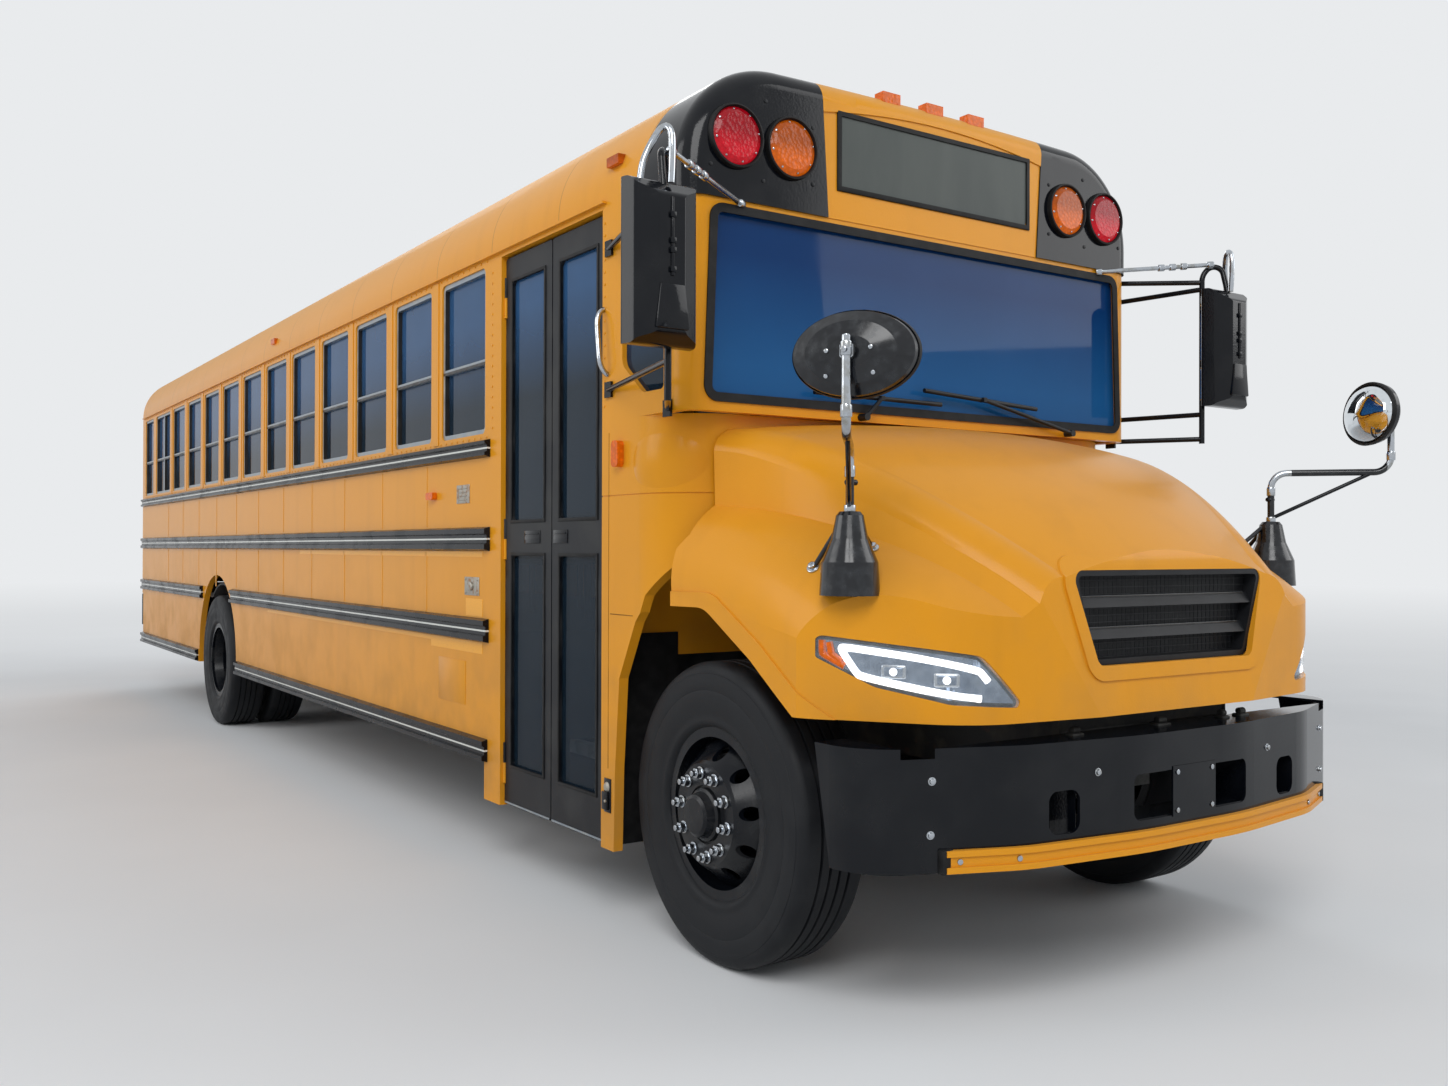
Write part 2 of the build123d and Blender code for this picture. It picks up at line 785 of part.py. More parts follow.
def build_rear_wall():
    """Rear body end with the door opening and two windows."""
    panel = roof_form(0, wall_end, body_rear, rear_wall_bottom)
    panel = panel - slab_y(
        rectangle(-rear_door_half - 6, rear_door_half + 6, rear_door_bottom - 6, rear_door_top + 6),
        wall_end - 5,
        body_rear + 5,
        30,
    )
    for side in (1, -1):
        points = [(side * x, z) for x, z in rear_window]
        panel = panel - slab_y(points, wall_end - 5, body_rear + 5, 40)
    x, y = rear_hinge
    for z in rear_heights:
        strap = block(x - 70, x, body_rear - 1, body_rear + 6, z - hinge_length, z)
        panel = panel + strap + fixed_barrel(x, y, z, rear_barrel, rear_pin)
    return panel


def build_rear_panes():
    """Glass of the two rear windows."""
    panes = []
    for side in (1, -1):
        face = outline([(side * x, z) for x, z in rear_window], 40, lambda u, v: (u, body_rear - 25, v))
        face = offset(face, amount=-seat_gap)
        panes.append(extrude(face, amount=glass_thick, dir=(0, 1, 0)))
    return panes


def glazed_leaf(u0, u1, v0, v1, lights, make, near, far):
    """A door leaf with rounded lights cut through, and a pane for each light."""
    leaf = make(rectangle(u0, u1, v0, v1), near, far, 12)
    panes = []
    middle = (near + far) / 2
    for a, b, c, d in lights:
        leaf = leaf - make(rectangle(a, b, c, d), near - 10, far + 10, 28)
        panes.append(
            make(
                rectangle(a + seat_gap, b - seat_gap, c + seat_gap, d - seat_gap),
                middle - glass_thick / 2,
                middle + glass_thick / 2,
                28,
            )
        )
    return leaf, panes


def build_entrance_doors():
    """Front and rear leaves of the entrance door with their glass."""
    split = (door_front + door_rear) / 2
    half_gap = door_meeting_gap / 2
    leaves = []
    for y0, y1 in ((door_front, split - half_gap), (split + half_gap, door_rear)):
        lights = [
            (y0 + door_stile, y1 - door_stile, door_glass_upper[0], door_glass_upper[1]),
            (y0 + door_stile, y1 - door_stile, door_glass_lower[0], door_glass_lower[1]),
        ]
        leaf, panes = glazed_leaf(
            y0, y1, door_bottom, door_top, lights, slab_x, -door_face, -door_face + door_thick
        )
        hinge_y = door_front if y0 == door_front else door_rear
        leaves.append((hang(leaf, -door_face, hinge_y, leaf_heights, leaf_barrel, leaf_pin), panes))
    return leaves


def build_rear_door():
    """Emergency door in the rear wall with two lights."""
    lights = [(-330, 330, 1930, 2520), (-330, 330, 1220, 1700)]
    leaf, panes = glazed_leaf(
        -rear_door_half,
        rear_door_half,
        rear_door_bottom,
        rear_door_top,
        lights,
        slab_y,
        body_rear - door_thick,
        body_rear,
    )
    x, y = rear_hinge
    for z in rear_heights:
        leaf = leaf + block(x, x + 70, body_rear - 1, body_rear + 6, z + running_gap, z + hinge_length)
    return hang(leaf, x, y, rear_heights, rear_barrel, rear_pin), panes


housing_inner_x = 570
housing_radius = 610
housing_thick = 15


def housing_drum(radius, x0, x1):
    """A round form about the rear axle, between two distances from the middle."""
    return Pos((x0 + x1) / 2, rear_axle_y, tyre_radius) * Rot(0, 90, 0) * Cylinder(radius, x1 - x0)


def build_wheel_housings():
    """Arched covers over the rear wheels, each with its inner side plate."""
    half = body_half - wall - seat_gap
    outer = housing_drum(housing_radius + housing_thick, housing_inner_x, half)
    inner = housing_drum(housing_radius, housing_inner_x + housing_thick, half + 50)
    above = block(0, 1300, rear_axle_y - 800, rear_axle_y + 800, floor_top - floor_thick, 1400)
    return both_sides((outer & above) - inner)


sill_first = 2012
sill_pitch = 690
sill_count = 12
sill_half = 30


def build_floor():
    """Floor sheets with cross sills, parted beside the steps and round the rear wheels."""
    half = body_half - wall - seat_gap
    low = floor_top - floor_thick
    reach = math.sqrt((housing_radius + housing_thick) ** 2 - (low - tyre_radius) ** 2)
    before = rear_axle_y - reach - seat_gap
    behind = rear_axle_y + reach + seat_gap
    inner = housing_inner_x - seat_gap
    step_edge = stepwell_rear + seat_gap
    rows = [
        (stepwell_inner + step_plate + seat_gap, half, firewall_y + 25 + seat_gap, step_edge - seat_gap),
        (-half, half, step_edge, before - seat_gap),
        (-inner, inner, before, behind),
        (-half, half, behind + seat_gap, wall_end - seat_gap),
    ]
    sheets = []
    for x0, x1, y0, y1 in rows:
        sheet = block(x0, x1, y0, y1, low, floor_top)
        for number in range(sill_count):
            y = sill_first + sill_pitch * number
            if y0 < y < y1:
                sheet = sheet + block(x0, x1, y - sill_half, y + sill_half, rail_top, low + 1)
        sheets.append(sheet)
    return sheets


stepwell_inner = -560
stepwell_rear = rear_pillar_front - 2
step_rise = 240
step_plate = 15


def build_stepwell():
    """Entrance steps with their side plates."""
    outer_x = -door_face + door_thick + 10
    front, rear = pillar_rear + 2, stepwell_rear
    base = door_bottom + 15
    steps = [
        (outer_x, base),
        (outer_x + 280, base),
        (outer_x + 280, base + step_rise),
        (outer_x + 430, base + step_rise),
        (outer_x + 430, base + 2 * step_rise),
        (stepwell_inner, base + 2 * step_rise),
        (stepwell_inner, floor_top),
    ]
    under = [(x + step_plate, z - step_plate) for x, z in steps[::-1]]
    under[0] = (stepwell_inner + step_plate, floor_top)
    under[-1] = (outer_x, base - step_plate)
    plate = slab_y(steps + under, front, rear)
    fill = [(outer_x, base - step_plate)] + [(outer_x, floor_top), (stepwell_inner + step_plate, floor_top)]
    fill = fill + [(stepwell_inner + step_plate, base + 2 * step_rise - step_plate)]
    fill = fill + [
        (outer_x + 430 + step_plate, base + step_rise - step_plate),
        (outer_x + 280 + step_plate, base - step_plate),
    ]
    for y0, y1 in ((front, front + 12), (rear - 12, rear)):
        plate = plate + slab_y(fill, y0, y1)
    return plate


# Running gear
def tyre(x):
    """One tyre with plain shoulders, centred at x on the X axis."""
    half = [(bead_radius, -98), (345, -130), (430, -tyre_half), (505, -124), (tyre_radius, -96)]
    points = half + [(r, -w) for r, w in half[::-1]]
    face = make_face(Polyline(*[(x + w, r, 0) for r, w in points], close=True))
    return revolve(face, axis=Axis.X)


def turned(points):
    """A solid of revolution about X from (x, radius) points."""
    face = make_face(Polyline(*[(x, r, 0) for x, r in points], close=True))
    return revolve(face, axis=Axis.X)


rim_radius = bead_radius - seat_gap
stud_circle = 142.9
stud_count = 10
hand_hole_circle = 212
hand_hole_radius = 24
spindle_radius = 38


def rim_barrel(x):
    """The rim's barrel with both flanges, centred at x."""
    lip = 108
    points = [
        (x - lip - 8, 262),
        (x - lip - 8, 306),
        (x - lip, 306),
        (x - lip, rim_radius),
        (x + lip, rim_radius),
        (x + lip, 306),
        (x + lip + 8, 306),
        (x + lip + 8, 262),
        (x + lip - 12, 262),
        (x + 30, 248),
        (x - 30, 248),
        (x - lip + 12, 262),
    ]
    return turned(points)


def wheel_nuts(x, length):
    """Ten nuts standing out of the disc face at x."""
    nuts = []
    for number in range(stud_count):
        angle = math.radians(360 / stud_count * (number + 0.25))
        y, z = stud_circle * math.cos(angle), stud_circle * math.sin(angle)
        nuts.append(Pos(x + length / 2, y, z) * Rot(0, 90, 0) * Cylinder(16, length))
    return nuts


def hand_holes(x0, x1):
    """Ten round holes through the disc."""
    holes = []
    for number in range(stud_count):
        angle = math.radians(360 / stud_count * (number + 0.75))
        y, z = hand_hole_circle * math.cos(angle), hand_hole_circle * math.sin(angle)
        holes.append(Pos((x0 + x1) / 2, y, z) * Rot(0, 90, 0) * Cylinder(hand_hole_radius, x1 - x0))
    return holes


def front_wheel_solid():
    """Left front wheel about the X axis: rim, outset disc, hub, cap and drum."""
    c = front_wheel_x
    disc = turned(
        [
            (c + 50, 250),
            (c + 62, 256),
            (c + 150, 185),
            (c + 160, 175),
            (c + 160, 100),
            (c + 148, 100),
            (c + 148, 172),
            (c + 140, 178),
        ]
    )
    hub = turned(
        [
            (c - 50, spindle_radius + hub_clearance),
            (c - 50, 80),
            (c + 100, 85),
            (c + 130, 168),
            (c + 150, 168),
            (c + 150, 92),
            (c + 165, 90),
            (c + 170, 80),
            (c + 198, 72),
            (c + 205, 60),
            (c + 205, 0),
            (c + 170, 0),
            (c + 170, spindle_radius + hub_clearance),
        ]
    )
    near = c - 98
    drum = turned(
        [(near, 200), (near, 212), (c + 40, 212), (c + 50, 200), (c + 50, 60), (c + 40, 60), (c + 40, 200)]
    )
    for hole in hand_holes(c + 56, c + 170):
        disc = disc - hole
    for nut in wheel_nuts(c + 159, 23):
        disc = disc + nut
    return rim_barrel(c) + disc + hub + drum


def rear_wheel_solid():
    """Left rear pair of wheels about the X axis with hub and drum."""
    inner, outer = dual_inner_x, dual_outer_x
    mid = (inner + outer) / 2
    axle = rear_tube_radius + hub_clearance
    disc_in = turned(
        [
            (inner + 40, 250),
            (inner + 52, 256),
            (mid - 10, 190),
            (mid, 178),
            (mid, 110),
            (mid - 12, 110),
            (mid - 12, 176),
        ],
    )
    disc_out = turned(
        [
            (outer - 40, 250),
            (outer - 52, 256),
            (mid + 10, 190),
            (mid, 178),
            (mid, 110),
            (mid + 12, 110),
            (mid + 12, 176),
        ],
    )
    hub = turned(
        [
            (inner - 40, axle),
            (inner - 40, 100),
            (mid - 30, 105),
            (mid - 20, 176),
            (mid - 11.5, 176),
            (mid - 11.5, 111),
            (mid + 60, 111),
            (mid + 130, 95),
            (mid + 165, 90),
            (mid + 165, 0),
            (mid + 140, 0),
            (mid + 140, axle),
        ]
    )
    drum = turned(
        [
            (inner - 115, 200),
            (inner - 115, 212),
            (inner + 60, 212),
            (inner + 70, 200),
            (inner + 70, 90),
            (inner + 60, 90),
            (inner + 60, 200),
        ],
    )
    wheel = rim_barrel(inner) + rim_barrel(outer) + disc_in + disc_out + hub + drum
    for nut in wheel_nuts(mid + 11, 31):
        wheel = wheel + nut
    for hole in hand_holes(inner + 40, outer - 40):
        wheel = wheel - hole
    return wheel


rear_tube_radius = 62
boss_radius = 48
boss_half = 56
kingpin_radius = 22
# The arms stand straight behind the kingpins, so equal turns keep the tie rod's length
steer_arm_y = 190
steer_arm_x = kingpin_x
steer_arm_z = 400
tie_end_radius = 22
tie_stud_radius = 12


def build_front_axle():
    """Dropped axle beam with kingpin bosses."""
    profile = [
        (-810, 480),
        (-650, 480),
        (-590, 415),
        (590, 415),
        (650, 480),
        (810, 480),
        (810, 570),
        (660, 570),
        (590, 520),
        (-590, 520),
        (-660, 570),
        (-810, 570),
    ]
    beam = slab_y(profile, -42, 42)
    slot_depth = 14
    for y0, y1 in ((-60, -42 + slot_depth), (42 - slot_depth, 60)):
        beam = beam - slab_y(rectangle(-570, 570, 435, 500), y0, y1)
    for side in (1, -1):
        boss = Pos(side * kingpin_x, 0, tyre_radius) * Cylinder(boss_radius, 2 * boss_half)
        beam = beam + boss
        beam = beam - Pos(side * kingpin_x, 0, tyre_radius) * Cylinder(kingpin_radius + hub_clearance, 300)
    for side in (1, -1):
        beam = beam + block(side * spring_x - 45, side * spring_x + 45, -75, 75, 500, spring_seat_front)
    return beam


def build_knuckle():
    """Left knuckle: fork, kingpin, spindle and steering arm."""
    k = kingpin_x
    z = tyre_radius
    pin = Pos(k, 0, z) * Cylinder(kingpin_radius, 190)
    fork = None
    for side in (1, -1):
        low, high = sorted((z + side * (boss_half + 6), z + side * (boss_half + 36)))
        arm = Pos(k, 0, (low + high) / 2) * Cylinder(40, high - low)
        arm = arm + block(k, k + 76, -38, 38, low, high)
        fork = arm if fork is None else fork + arm
    web = block(k + boss_radius + 8, k + 78, -38, 38, z - boss_half - 36, z + boss_half + 36)
    spindle = rod((k + 70, 0, z), (front_wheel_x + 150, 0, z), spindle_radius)
    low, high = steer_arm_z + 24, steer_arm_z + 52
    eye = tie_end_radius
    root = [
        (k + 20, 20),
        (k + 66, 30),
        (k + 60, 70),
        (k + eye, steer_arm_y),
        (k - eye, steer_arm_y),
        (k - eye, 110),
    ]
    arm = slab_z(root, low, high)
    arm = arm + post(steer_arm_x, steer_arm_y, low, high, eye)
    drop = block(k + 18, k + 68, -30, 34, low, z - boss_half - 10)
    stud = post(steer_arm_x, steer_arm_y, steer_arm_z - 15, high - 17, tie_stud_radius)
    return pin + fork + web + spindle + arm + drop + stud


def build_tie_rod():
    """Tie rod between the two steering arms."""
    bar = rod((-steer_arm_x, steer_arm_y, steer_arm_z), (steer_arm_x, steer_arm_y, steer_arm_z), 16)
    for side in (1, -1):
        end = Pos(side * steer_arm_x, steer_arm_y, steer_arm_z)
        bar = bar + end * Cylinder(tie_end_radius, 36)
        bar = bar - end * Cylinder(tie_stud_radius + hub_clearance, 60)
    return bar


spring_x = 394
spring_half_width = 38
spring_seat_front = 545
spring_seat_rear = rear_tube_radius + tyre_radius + 20
spring_span = 640


def leaf_pack(y, seat_z):
    """Left leaf spring with clamp, eyes and hangers, on a seat at height seat_z."""
    eye_z = 662
    x0, x1 = spring_x - spring_half_width, spring_x + spring_half_width
    low = ThreePointArc(
        (x0, y - spring_span, eye_z - 14), (x0, y, seat_z), (x0, y + spring_span, eye_z - 14)
    )
    high = ThreePointArc(
        (x0, y + spring_span, eye_z + 8), (x0, y, seat_z + 62), (x0, y - spring_span, eye_z + 8)
    )
    ends = [
        Line((x0, y + spring_span, eye_z - 14), (x0, y + spring_span, eye_z + 8)),
        Line((x0, y - spring_span, eye_z + 8), (x0, y - spring_span, eye_z - 14)),
    ]
    pack = extrude(make_face(Curve() + [low, high] + ends), amount=x1 - x0, dir=(1, 0, 0))
    pack = pack + block(x0 - 6, x1 + 6, y - 70, y + 70, seat_z, seat_z + 74)
    for side in (1, -1):
        eye = Pos(spring_x, y + side * spring_span, eye_z) * Rot(0, 90, 0) * Cylinder(26, x1 - x0)
        hanger = block(
            x0 - 5, x1 + 5, y + side * spring_span - 30, y + side * spring_span + 30, eye_z, rail_bottom
        )
        pack = pack + eye + hanger
    return pack


def build_rear_axle():
    """Rear axle housing with its bowl and drive spindles."""
    reach = (dual_inner_x + dual_outer_x) / 2 + 120
    tube = rod((-reach, rear_axle_y, tyre_radius), (reach, rear_axle_y, tyre_radius), rear_tube_radius)
    bulge = [(-230, 0), (-230, 70), (-150, 175), (-60, 205), (60, 205), (150, 175), (230, 70), (230, 0)]
    bowl = turned(bulge).moved(Location((0, rear_axle_y, tyre_radius)))
    bowl = bowl & block(-300, 300, rear_axle_y - 150, rear_axle_y + 150, 0, 2000)
    nose = rod((0, rear_axle_y - 120, tyre_radius), (0, rear_axle_y - 330, tyre_radius + 20), 80)
    axle = tube + bowl + nose
    for side in (1, -1):
        pad = block(
            side * spring_x - 45,
            side * spring_x + 45,
            rear_axle_y - 75,
            rear_axle_y + 75,
            tyre_radius,
            spring_seat_rear,
        )
        axle = axle + pad
    return axle


def build_frame():
    """Two channel rails and their cross members."""
    parts = None
    for side in (1, -1):
        x_out, x_in = side * rail_outer, side * (rail_outer - rail_flange)
        low, high = sorted((x_out, x_in))
        channel = block(low, high, rail_front, rail_end, rail_bottom, rail_top)
        pocket_low, pocket_high = sorted(
            (side * (rail_outer - rail_web), side * (rail_outer - rail_flange - 10))
        )
        channel = channel - block(
            pocket_low,
            pocket_high,
            rail_front - 5,
            rail_end + 5,
            rail_bottom + rail_web,
            rail_top - rail_web,
        )
        parts = channel if parts is None else parts + channel
    inside = rail_outer - rail_web + 1
    for y in cross_members:
        member = block(-inside, inside, y - 35, y + 35, member_bottom, rail_top - 15)
        member = member - block(-inside + 60, inside - 60, y - 27, y + 60, member_bottom + 8, rail_top - 23)
        parts = parts + member
    low, high = tow_eye_z - tow_eye_outer, tow_eye_z + tow_eye_outer
    plate = [
        (rail_end - 190, rail_bottom + 1),
        (rail_end - 2, rail_bottom + 1),
        (rail_end - 2, high),
        (tow_eye_y, high),
        (tow_eye_y, low),
        (rail_end - 30, low),
        (rail_end - 190, rail_bottom - 30),
    ]
    half = tow_eye_length / 2
    bore = Pos(0, tow_eye_y, tow_eye_z) * Rot(0, 90, 0) * Cylinder(tow_eye_radius, 2 * tow_eye_length)
    eye = slab_x(plate, -half, half)
    eye = eye + Pos(0, tow_eye_y, tow_eye_z) * Rot(0, 90, 0) * Cylinder(tow_eye_outer, tow_eye_length)
    eye = eye - bore
    for side in (1, -1):
        parts = parts + Pos(side * (rail_outer - rail_flange / 2), 0, 0) * eye
    return parts


cross_members = (-900, 1500, 2700, 3900, 5400, 6500, 7900, 9300, 10540)
member_bottom = 865
tow_eye_radius = 19
tow_eye_outer = 36
tow_eye_length = 25
tow_eye_y = body_rear + 45
tow_eye_z = 600
engine_rear = 340
sump_z = 590
exhaust_z = 645


def build_engine():
    """Engine as one plain block with its mounts, and the radiator ahead of it."""
    half = 330
    engine = block(-half, half, -700, engine_rear, sump_z, 1330)
    for side in (1, -1):
        x0, x1 = sorted((side * (half - 1), side * (rail_outer - rail_web - seat_gap)))
        engine = engine + block(x0, x1, -60, 60, 790, 850)
    radiator = block(-400, 400, -880, -800, rail_top, 1390)
    return [engine, radiator]


def build_driveline():
    """Gearbox, propeller shafts and the centre bearing."""
    z = 790
    start = engine_rear + seat_gap
    bearing_y = cross_members[3]
    box = rod((0, start, 800), (0, 720, 800), 190) & block(-180, 180, start - 1, 800, 600, 985)
    box = box + rod((0, 700, 800), (0, 1250, 800), 110)
    shaft = rod((0, 1240, 800), (0, bearing_y, z), 42)
    carrier = block(-120, 120, bearing_y - 34, bearing_y + 34, z - 60, member_bottom - seat_gap)
    end = (0, rear_axle_y - 332, tyre_radius + 21)
    second = rod((0, bearing_y + 20, z - 2), end, 42)
    return box + shaft + carrier + second


def build_exhaust():
    """Pipe and silencer on the left of the frame."""
    x, z = 610, exhaust_z
    pipe = tube_path(
        [(250, engine_rear + seat_gap, z), (250, 640, z), (x, 1180, z), (x, 6100, z)],
        [150, 300],
        45,
    )
    silencer = rod((x, 3000, z), (x, 4300, z), 130)
    edge = rail_outer + seat_gap
    hangers = block(edge, x, 3300, 3340, 740, 780) + block(edge, x, 5600, 5640, 740, 780)
    hangers = hangers + block(x - 20, x + 20, 5600, 5640, z, 780)
    return pipe + silencer + hangers


def build_fuel_tank():
    """Fuel tank with straps on the right of the frame."""
    points = [(-1060, 480), (-470, 480), (-470, 900), (-1060, 900)]
    tank = slab_y(points, 2500, 4300, 70)
    for y in (2800, 4000):
        tank = tank + block(-480, -rail_outer - seat_gap, y - 30, y + 30, 720, 900)
    return tank


plate_z = 675
plate_hole_x = 178
plate_hole_z = 121
plate_hole_radius = 3.6


def build_front_bumper():
    """Wrap-round steel bumper with plate recess, tow holes and brackets."""
    def plan(inset):
        right = [
            (body_half + 2 - inset, -640),
            (body_half + 2 - inset, -880 + inset * 0.5),
            (720, -1060 + inset),
            (250, bumper_face + inset),
        ]
        left = [(-x, y) for x, y in right[::-1]]
        return right + left

    radii = [1, 210, 500, 1500, 1500, 500, 210, 1]
    radii_in = [1, 200, 490, 1490, 1490, 490, 200, 1]
    outer = slab_z(plan(0), bumper_bottom, bumper_top, radii)
    inner = slab_z(
        [(x, y if y < -700 else y + 60) for x, y in plan(bumper_wall)],
        bumper_bottom - 5,
        bumper_top - bumper_wall,
        radii_in,
    )
    bumper = outer - inner
    rear_cut = slab_x([(-500, 400), (-760, 400), (-640, 1000), (-500, 1000)], -1300, 1300)
    bumper = bumper - rear_cut
    bumper = bumper - block(-1080, 1080, -960, -500, bumper_top - 30, bumper_top + 5)
    bumper = bumper - slab_y(rectangle(-290, 290, 600, 745), bumper_face - 50, bumper_face + 60, 30)
    for side in (1, -1):
        hole = slab_y(
            rectangle(side * 568 - 60, side * 568 + 60, 590, 720), bumper_face - 50, bumper_face + 120, 35
        )
        bumper = bumper - hole
    plate = block(-110, 110, bumper_face - 3, bumper_face + 3, plate_z - 80, plate_z + 80)
    for x in (-plate_hole_x / 2, plate_hole_x / 2):
        for z in (plate_z - plate_hole_z / 2, plate_z + plate_hole_z / 2):
            plate = plate - Pos(x, bumper_face, z) * Rot(90, 0, 0) * Cylinder(plate_hole_radius, 20)
    bumper = bumper + plate
    for side in (1, -1):
        x0, x1 = sorted((side * (rail_outer - rail_flange), side * (rail_outer - 10)))
        bracket = block(x0, x1, -1090, rail_front - seat_gap, 690, 850)
        bumper = bumper + (bracket & slab_z(plan(bumper_wall - 2), 0, 2000, radii_in))
    return bumper, plan


def build_bumper_guard(plan):
    """Ribbed guard strip along the bumper's lower edge."""
    low, high = bumper_bottom, bumper_bottom + 66
    third = (high - low) / 3
    strip = None
    for z0, z1, stand in (
        (low, low + third - 4, guard_stand),
        (low + third - 4, high - third + 4, guard_stand - 8),
        (high - third + 4, high, guard_stand),
    ):
        outer = slab_z(
            [(x, y - stand if y < -700 else y) for x, y in plan(0)], z0, z1, [
                1, 210, 500, 1500, 1500, 500, 210, 1
            ]
        )
        band = outer - slab_z(
            [(x, y - seat_gap if y < -700 else y) for x, y in plan(0)], z0 - 1, z1 + 1, [
                1, 210, 500, 1500, 1500, 500, 210, 1
            ]
        )
        band = band & block(-960, 960, -1300, -900, z0, z1)
        strip = band if strip is None else strip + band
    return strip


def build_rear_bumper():
    """Rear bumper across the frame ends."""
    outer = slab_z(
        [
            (body_half, body_rear + seat_gap),
            (body_half, rear_end),
            (-body_half, rear_end),
            (-body_half, body_rear + seat_gap),
        ],
        640,
        rear_wall_bottom - 8,
        [1, 70, 70, 1],
    )
    inner = block(
        -body_half + 10, body_half - 10, body_rear - 10, rear_end - 12, 650, rear_wall_bottom - 18
    )
    bumper = outer - inner
    for side in (1, -1):
        x0, x1 = sorted((side * (rail_outer - rail_flange), side * rail_outer))
        bumper = bumper + block(x0, x1, body_rear + seat_gap, rear_end - 5, 720, 900)
    return bumper


# Seats: rows of benches on both sides
seat_rows = 12
seat_first = 1800
seat_pitch = 700
seat_width = 940
seat_from_wall = 20
aisle_half = 180
cushion_z = 1060 + 330
cushion_thick = 120
back_top = 1060 + 900


def seat_rows_table():
    """Front edge of each bench, from the front."""
    return [seat_first + seat_pitch * number for number in range(seat_rows)]


def build_seats():
    """Padded cushions and backs, and the frames that carry them."""
    pads = []
    frames = None
    x0 = aisle_half
    x1 = body_half - wall - seat_from_wall
    for y in seat_rows_table():
        cushion = block(x0, x1, y, y + 400, cushion_z, cushion_z + cushion_thick)
        profile = [(y + 401, cushion_z), (y + 470, cushion_z), (y + 560, back_top), (y + 500, back_top)]
        back = slab_x(profile, x0, x1, [10, 10, 25, 25])
        pads += both_sides(cushion) + both_sides(back)
        z_under = cushion_z - seat_gap
        rail = block(x0 + 30, x1, y + 20, y + 55, z_under - 30, z_under)
        rail = rail + block(x0 + 30, x1, y + 390, y + 425, z_under - 30, z_under)
        rail = rail + block(x1 - 30, x1 + seat_from_wall - seat_gap, y + 20, y + 425, z_under - 30, z_under)
        rail = rail + block(x0 + 60, x0 + 90, y + 20, y + 425, z_under - 30, z_under)
        for leg_y in (y + 25, y + 390):
            rail = rail + block(x0 + 60, x0 + 90, leg_y, leg_y + 30, floor_top, z_under)
        frames_here = both_sides(rail)
        frames = frames_here if frames is None else frames + frames_here
    return pads, frames


driver_seat = (620, 1160)


def build_driver_seat():
    """Driver's seat on its pedestal."""
    x, y = driver_seat
    base = 1060
    cushion = slab_y(rectangle(x - 250, x + 250, base + 400, base + 530), y - 230, y + 230, 40)
    near = y + 230 + seat_gap
    profile = [
        (near, base + 400),
        (near + 90, base + 400),
        (near + 190, base + 1250),
        (near + 100, base + 1250),
        (near, base + 560),
    ]
    back = slab_x(profile, x - 240, x + 240, [5, 20, 30, 30, 60])
    pedestal = block(x - 200, x + 200, y - 180, y + 200, base, base + 40) + block(
        x - 130, x + 130, y - 130, y + 130, base + 30, base + 380
    )
    pedestal = pedestal + block(x - 200, x + 200, y - 180, y + 320, base + 370, base + 400 - seat_gap)
    return [cushion, back], pedestal


wheel_centre = (620, 765, 1800)
column_tilt = 50
steering_wheel_radius = 228
wheel_hub_half = 19


def build_dashboard():
    """Dashboard across the front with the steering column."""
    half = 1005
    front = cowl_front + 75
    seat_z = shelf_z + 20 + seat_gap
    profile = [(front, seat_z), (580, seat_z), (600, 1610), (570, 1790), (400, 1900), (front, 1903)]
    dash = slab_x(profile, -half, half, [5, 20, 40, 50, 30, 5])
    cx, cy, cz = wheel_centre
    lean = math.radians(column_tilt)
    axis = (0, math.sin(lean), math.cos(lean))
    near = wheel_hub_half + hub_clearance
    top = (cx, cy - axis[1] * near, cz - axis[2] * near)
    foot = (cx, cy - axis[1] * 270, cz - axis[2] * 270)
    return dash + rod(foot, top, 36)


def build_steering_wheel():
    """Three-spoke steering wheel on the column's axis."""
    rim = Torus(steering_wheel_radius, 15)
    hub = Cylinder(52, 2 * wheel_hub_half)
    wheel = rim + hub
    for number in range(3):
        spoke = Box(steering_wheel_radius - 30, 26, 12, align=(Align.MIN, Align.CENTER, Align.CENTER))
        wheel = wheel + Rot(0, 0, 90 + 120 * number) * Pos(22, 0, 0) * spoke
    return Pos(*wheel_centre) * Rot(-column_tilt, 0, 0) * wheel


mirror_housing = (-1470, -250, 2335)


def build_side_mirrors():
    """Tall mirror heads on tubular brackets at both front corners."""
    x, y, z = mirror_housing
    plan = [
        (x - 131, y + 55),
        (x + 131, y + 55),
        (x + 112, y - 20),
        (x + 48, y - 55),
        (x - 48, y - 55),
        (x - 112, y - 20),
    ]
    head = slab_z(plan, z - 260, z + 260, [14, 14, 30, 12, 12, 30])
    side = [
        (y + 56, z - 260),
        (y + 56, z + 260),
        (y + 10, z + 260),
        (y - 56, z + 205),
        (y - 56, z - 225),
        (y, z - 260),
    ]
    head = head & slab_x(side, x - 200, x + 200, [14, 14, 40, 30, 30, 40])
    upright = tube_path(
        [(x + 70, y + 85, z - 420), (x + 70, y + 85, z + 330), (x + 10, y + 40, z + 420), (x, y, z + 235)],
        [70, 40],
        12,
    )
    skin = -body_half - seat_gap
    arms = None
    for from_z, to_y, to_z in ((-400, 170, -400), (-290, 600, -290), (300, 180, 330), (270, 600, 250)):
        arm = rod((x + 70, y + 85, z + from_z), (skin - 4, to_y, z + to_z), 11)
        pad = block(skin - 10, skin, to_y - 25, to_y + 25, z + to_z - 30, z + to_z + 30)
        arms = arm + pad if arms is None else arms + arm + pad
    arms = arms - block(skin, 0, -600, 900, 1000, 3000)
    clamp = rod((x + 70, y + 85, z - 150), (x + 40, y + 50, z - 150), 14)
    return head + upright + arms + clamp


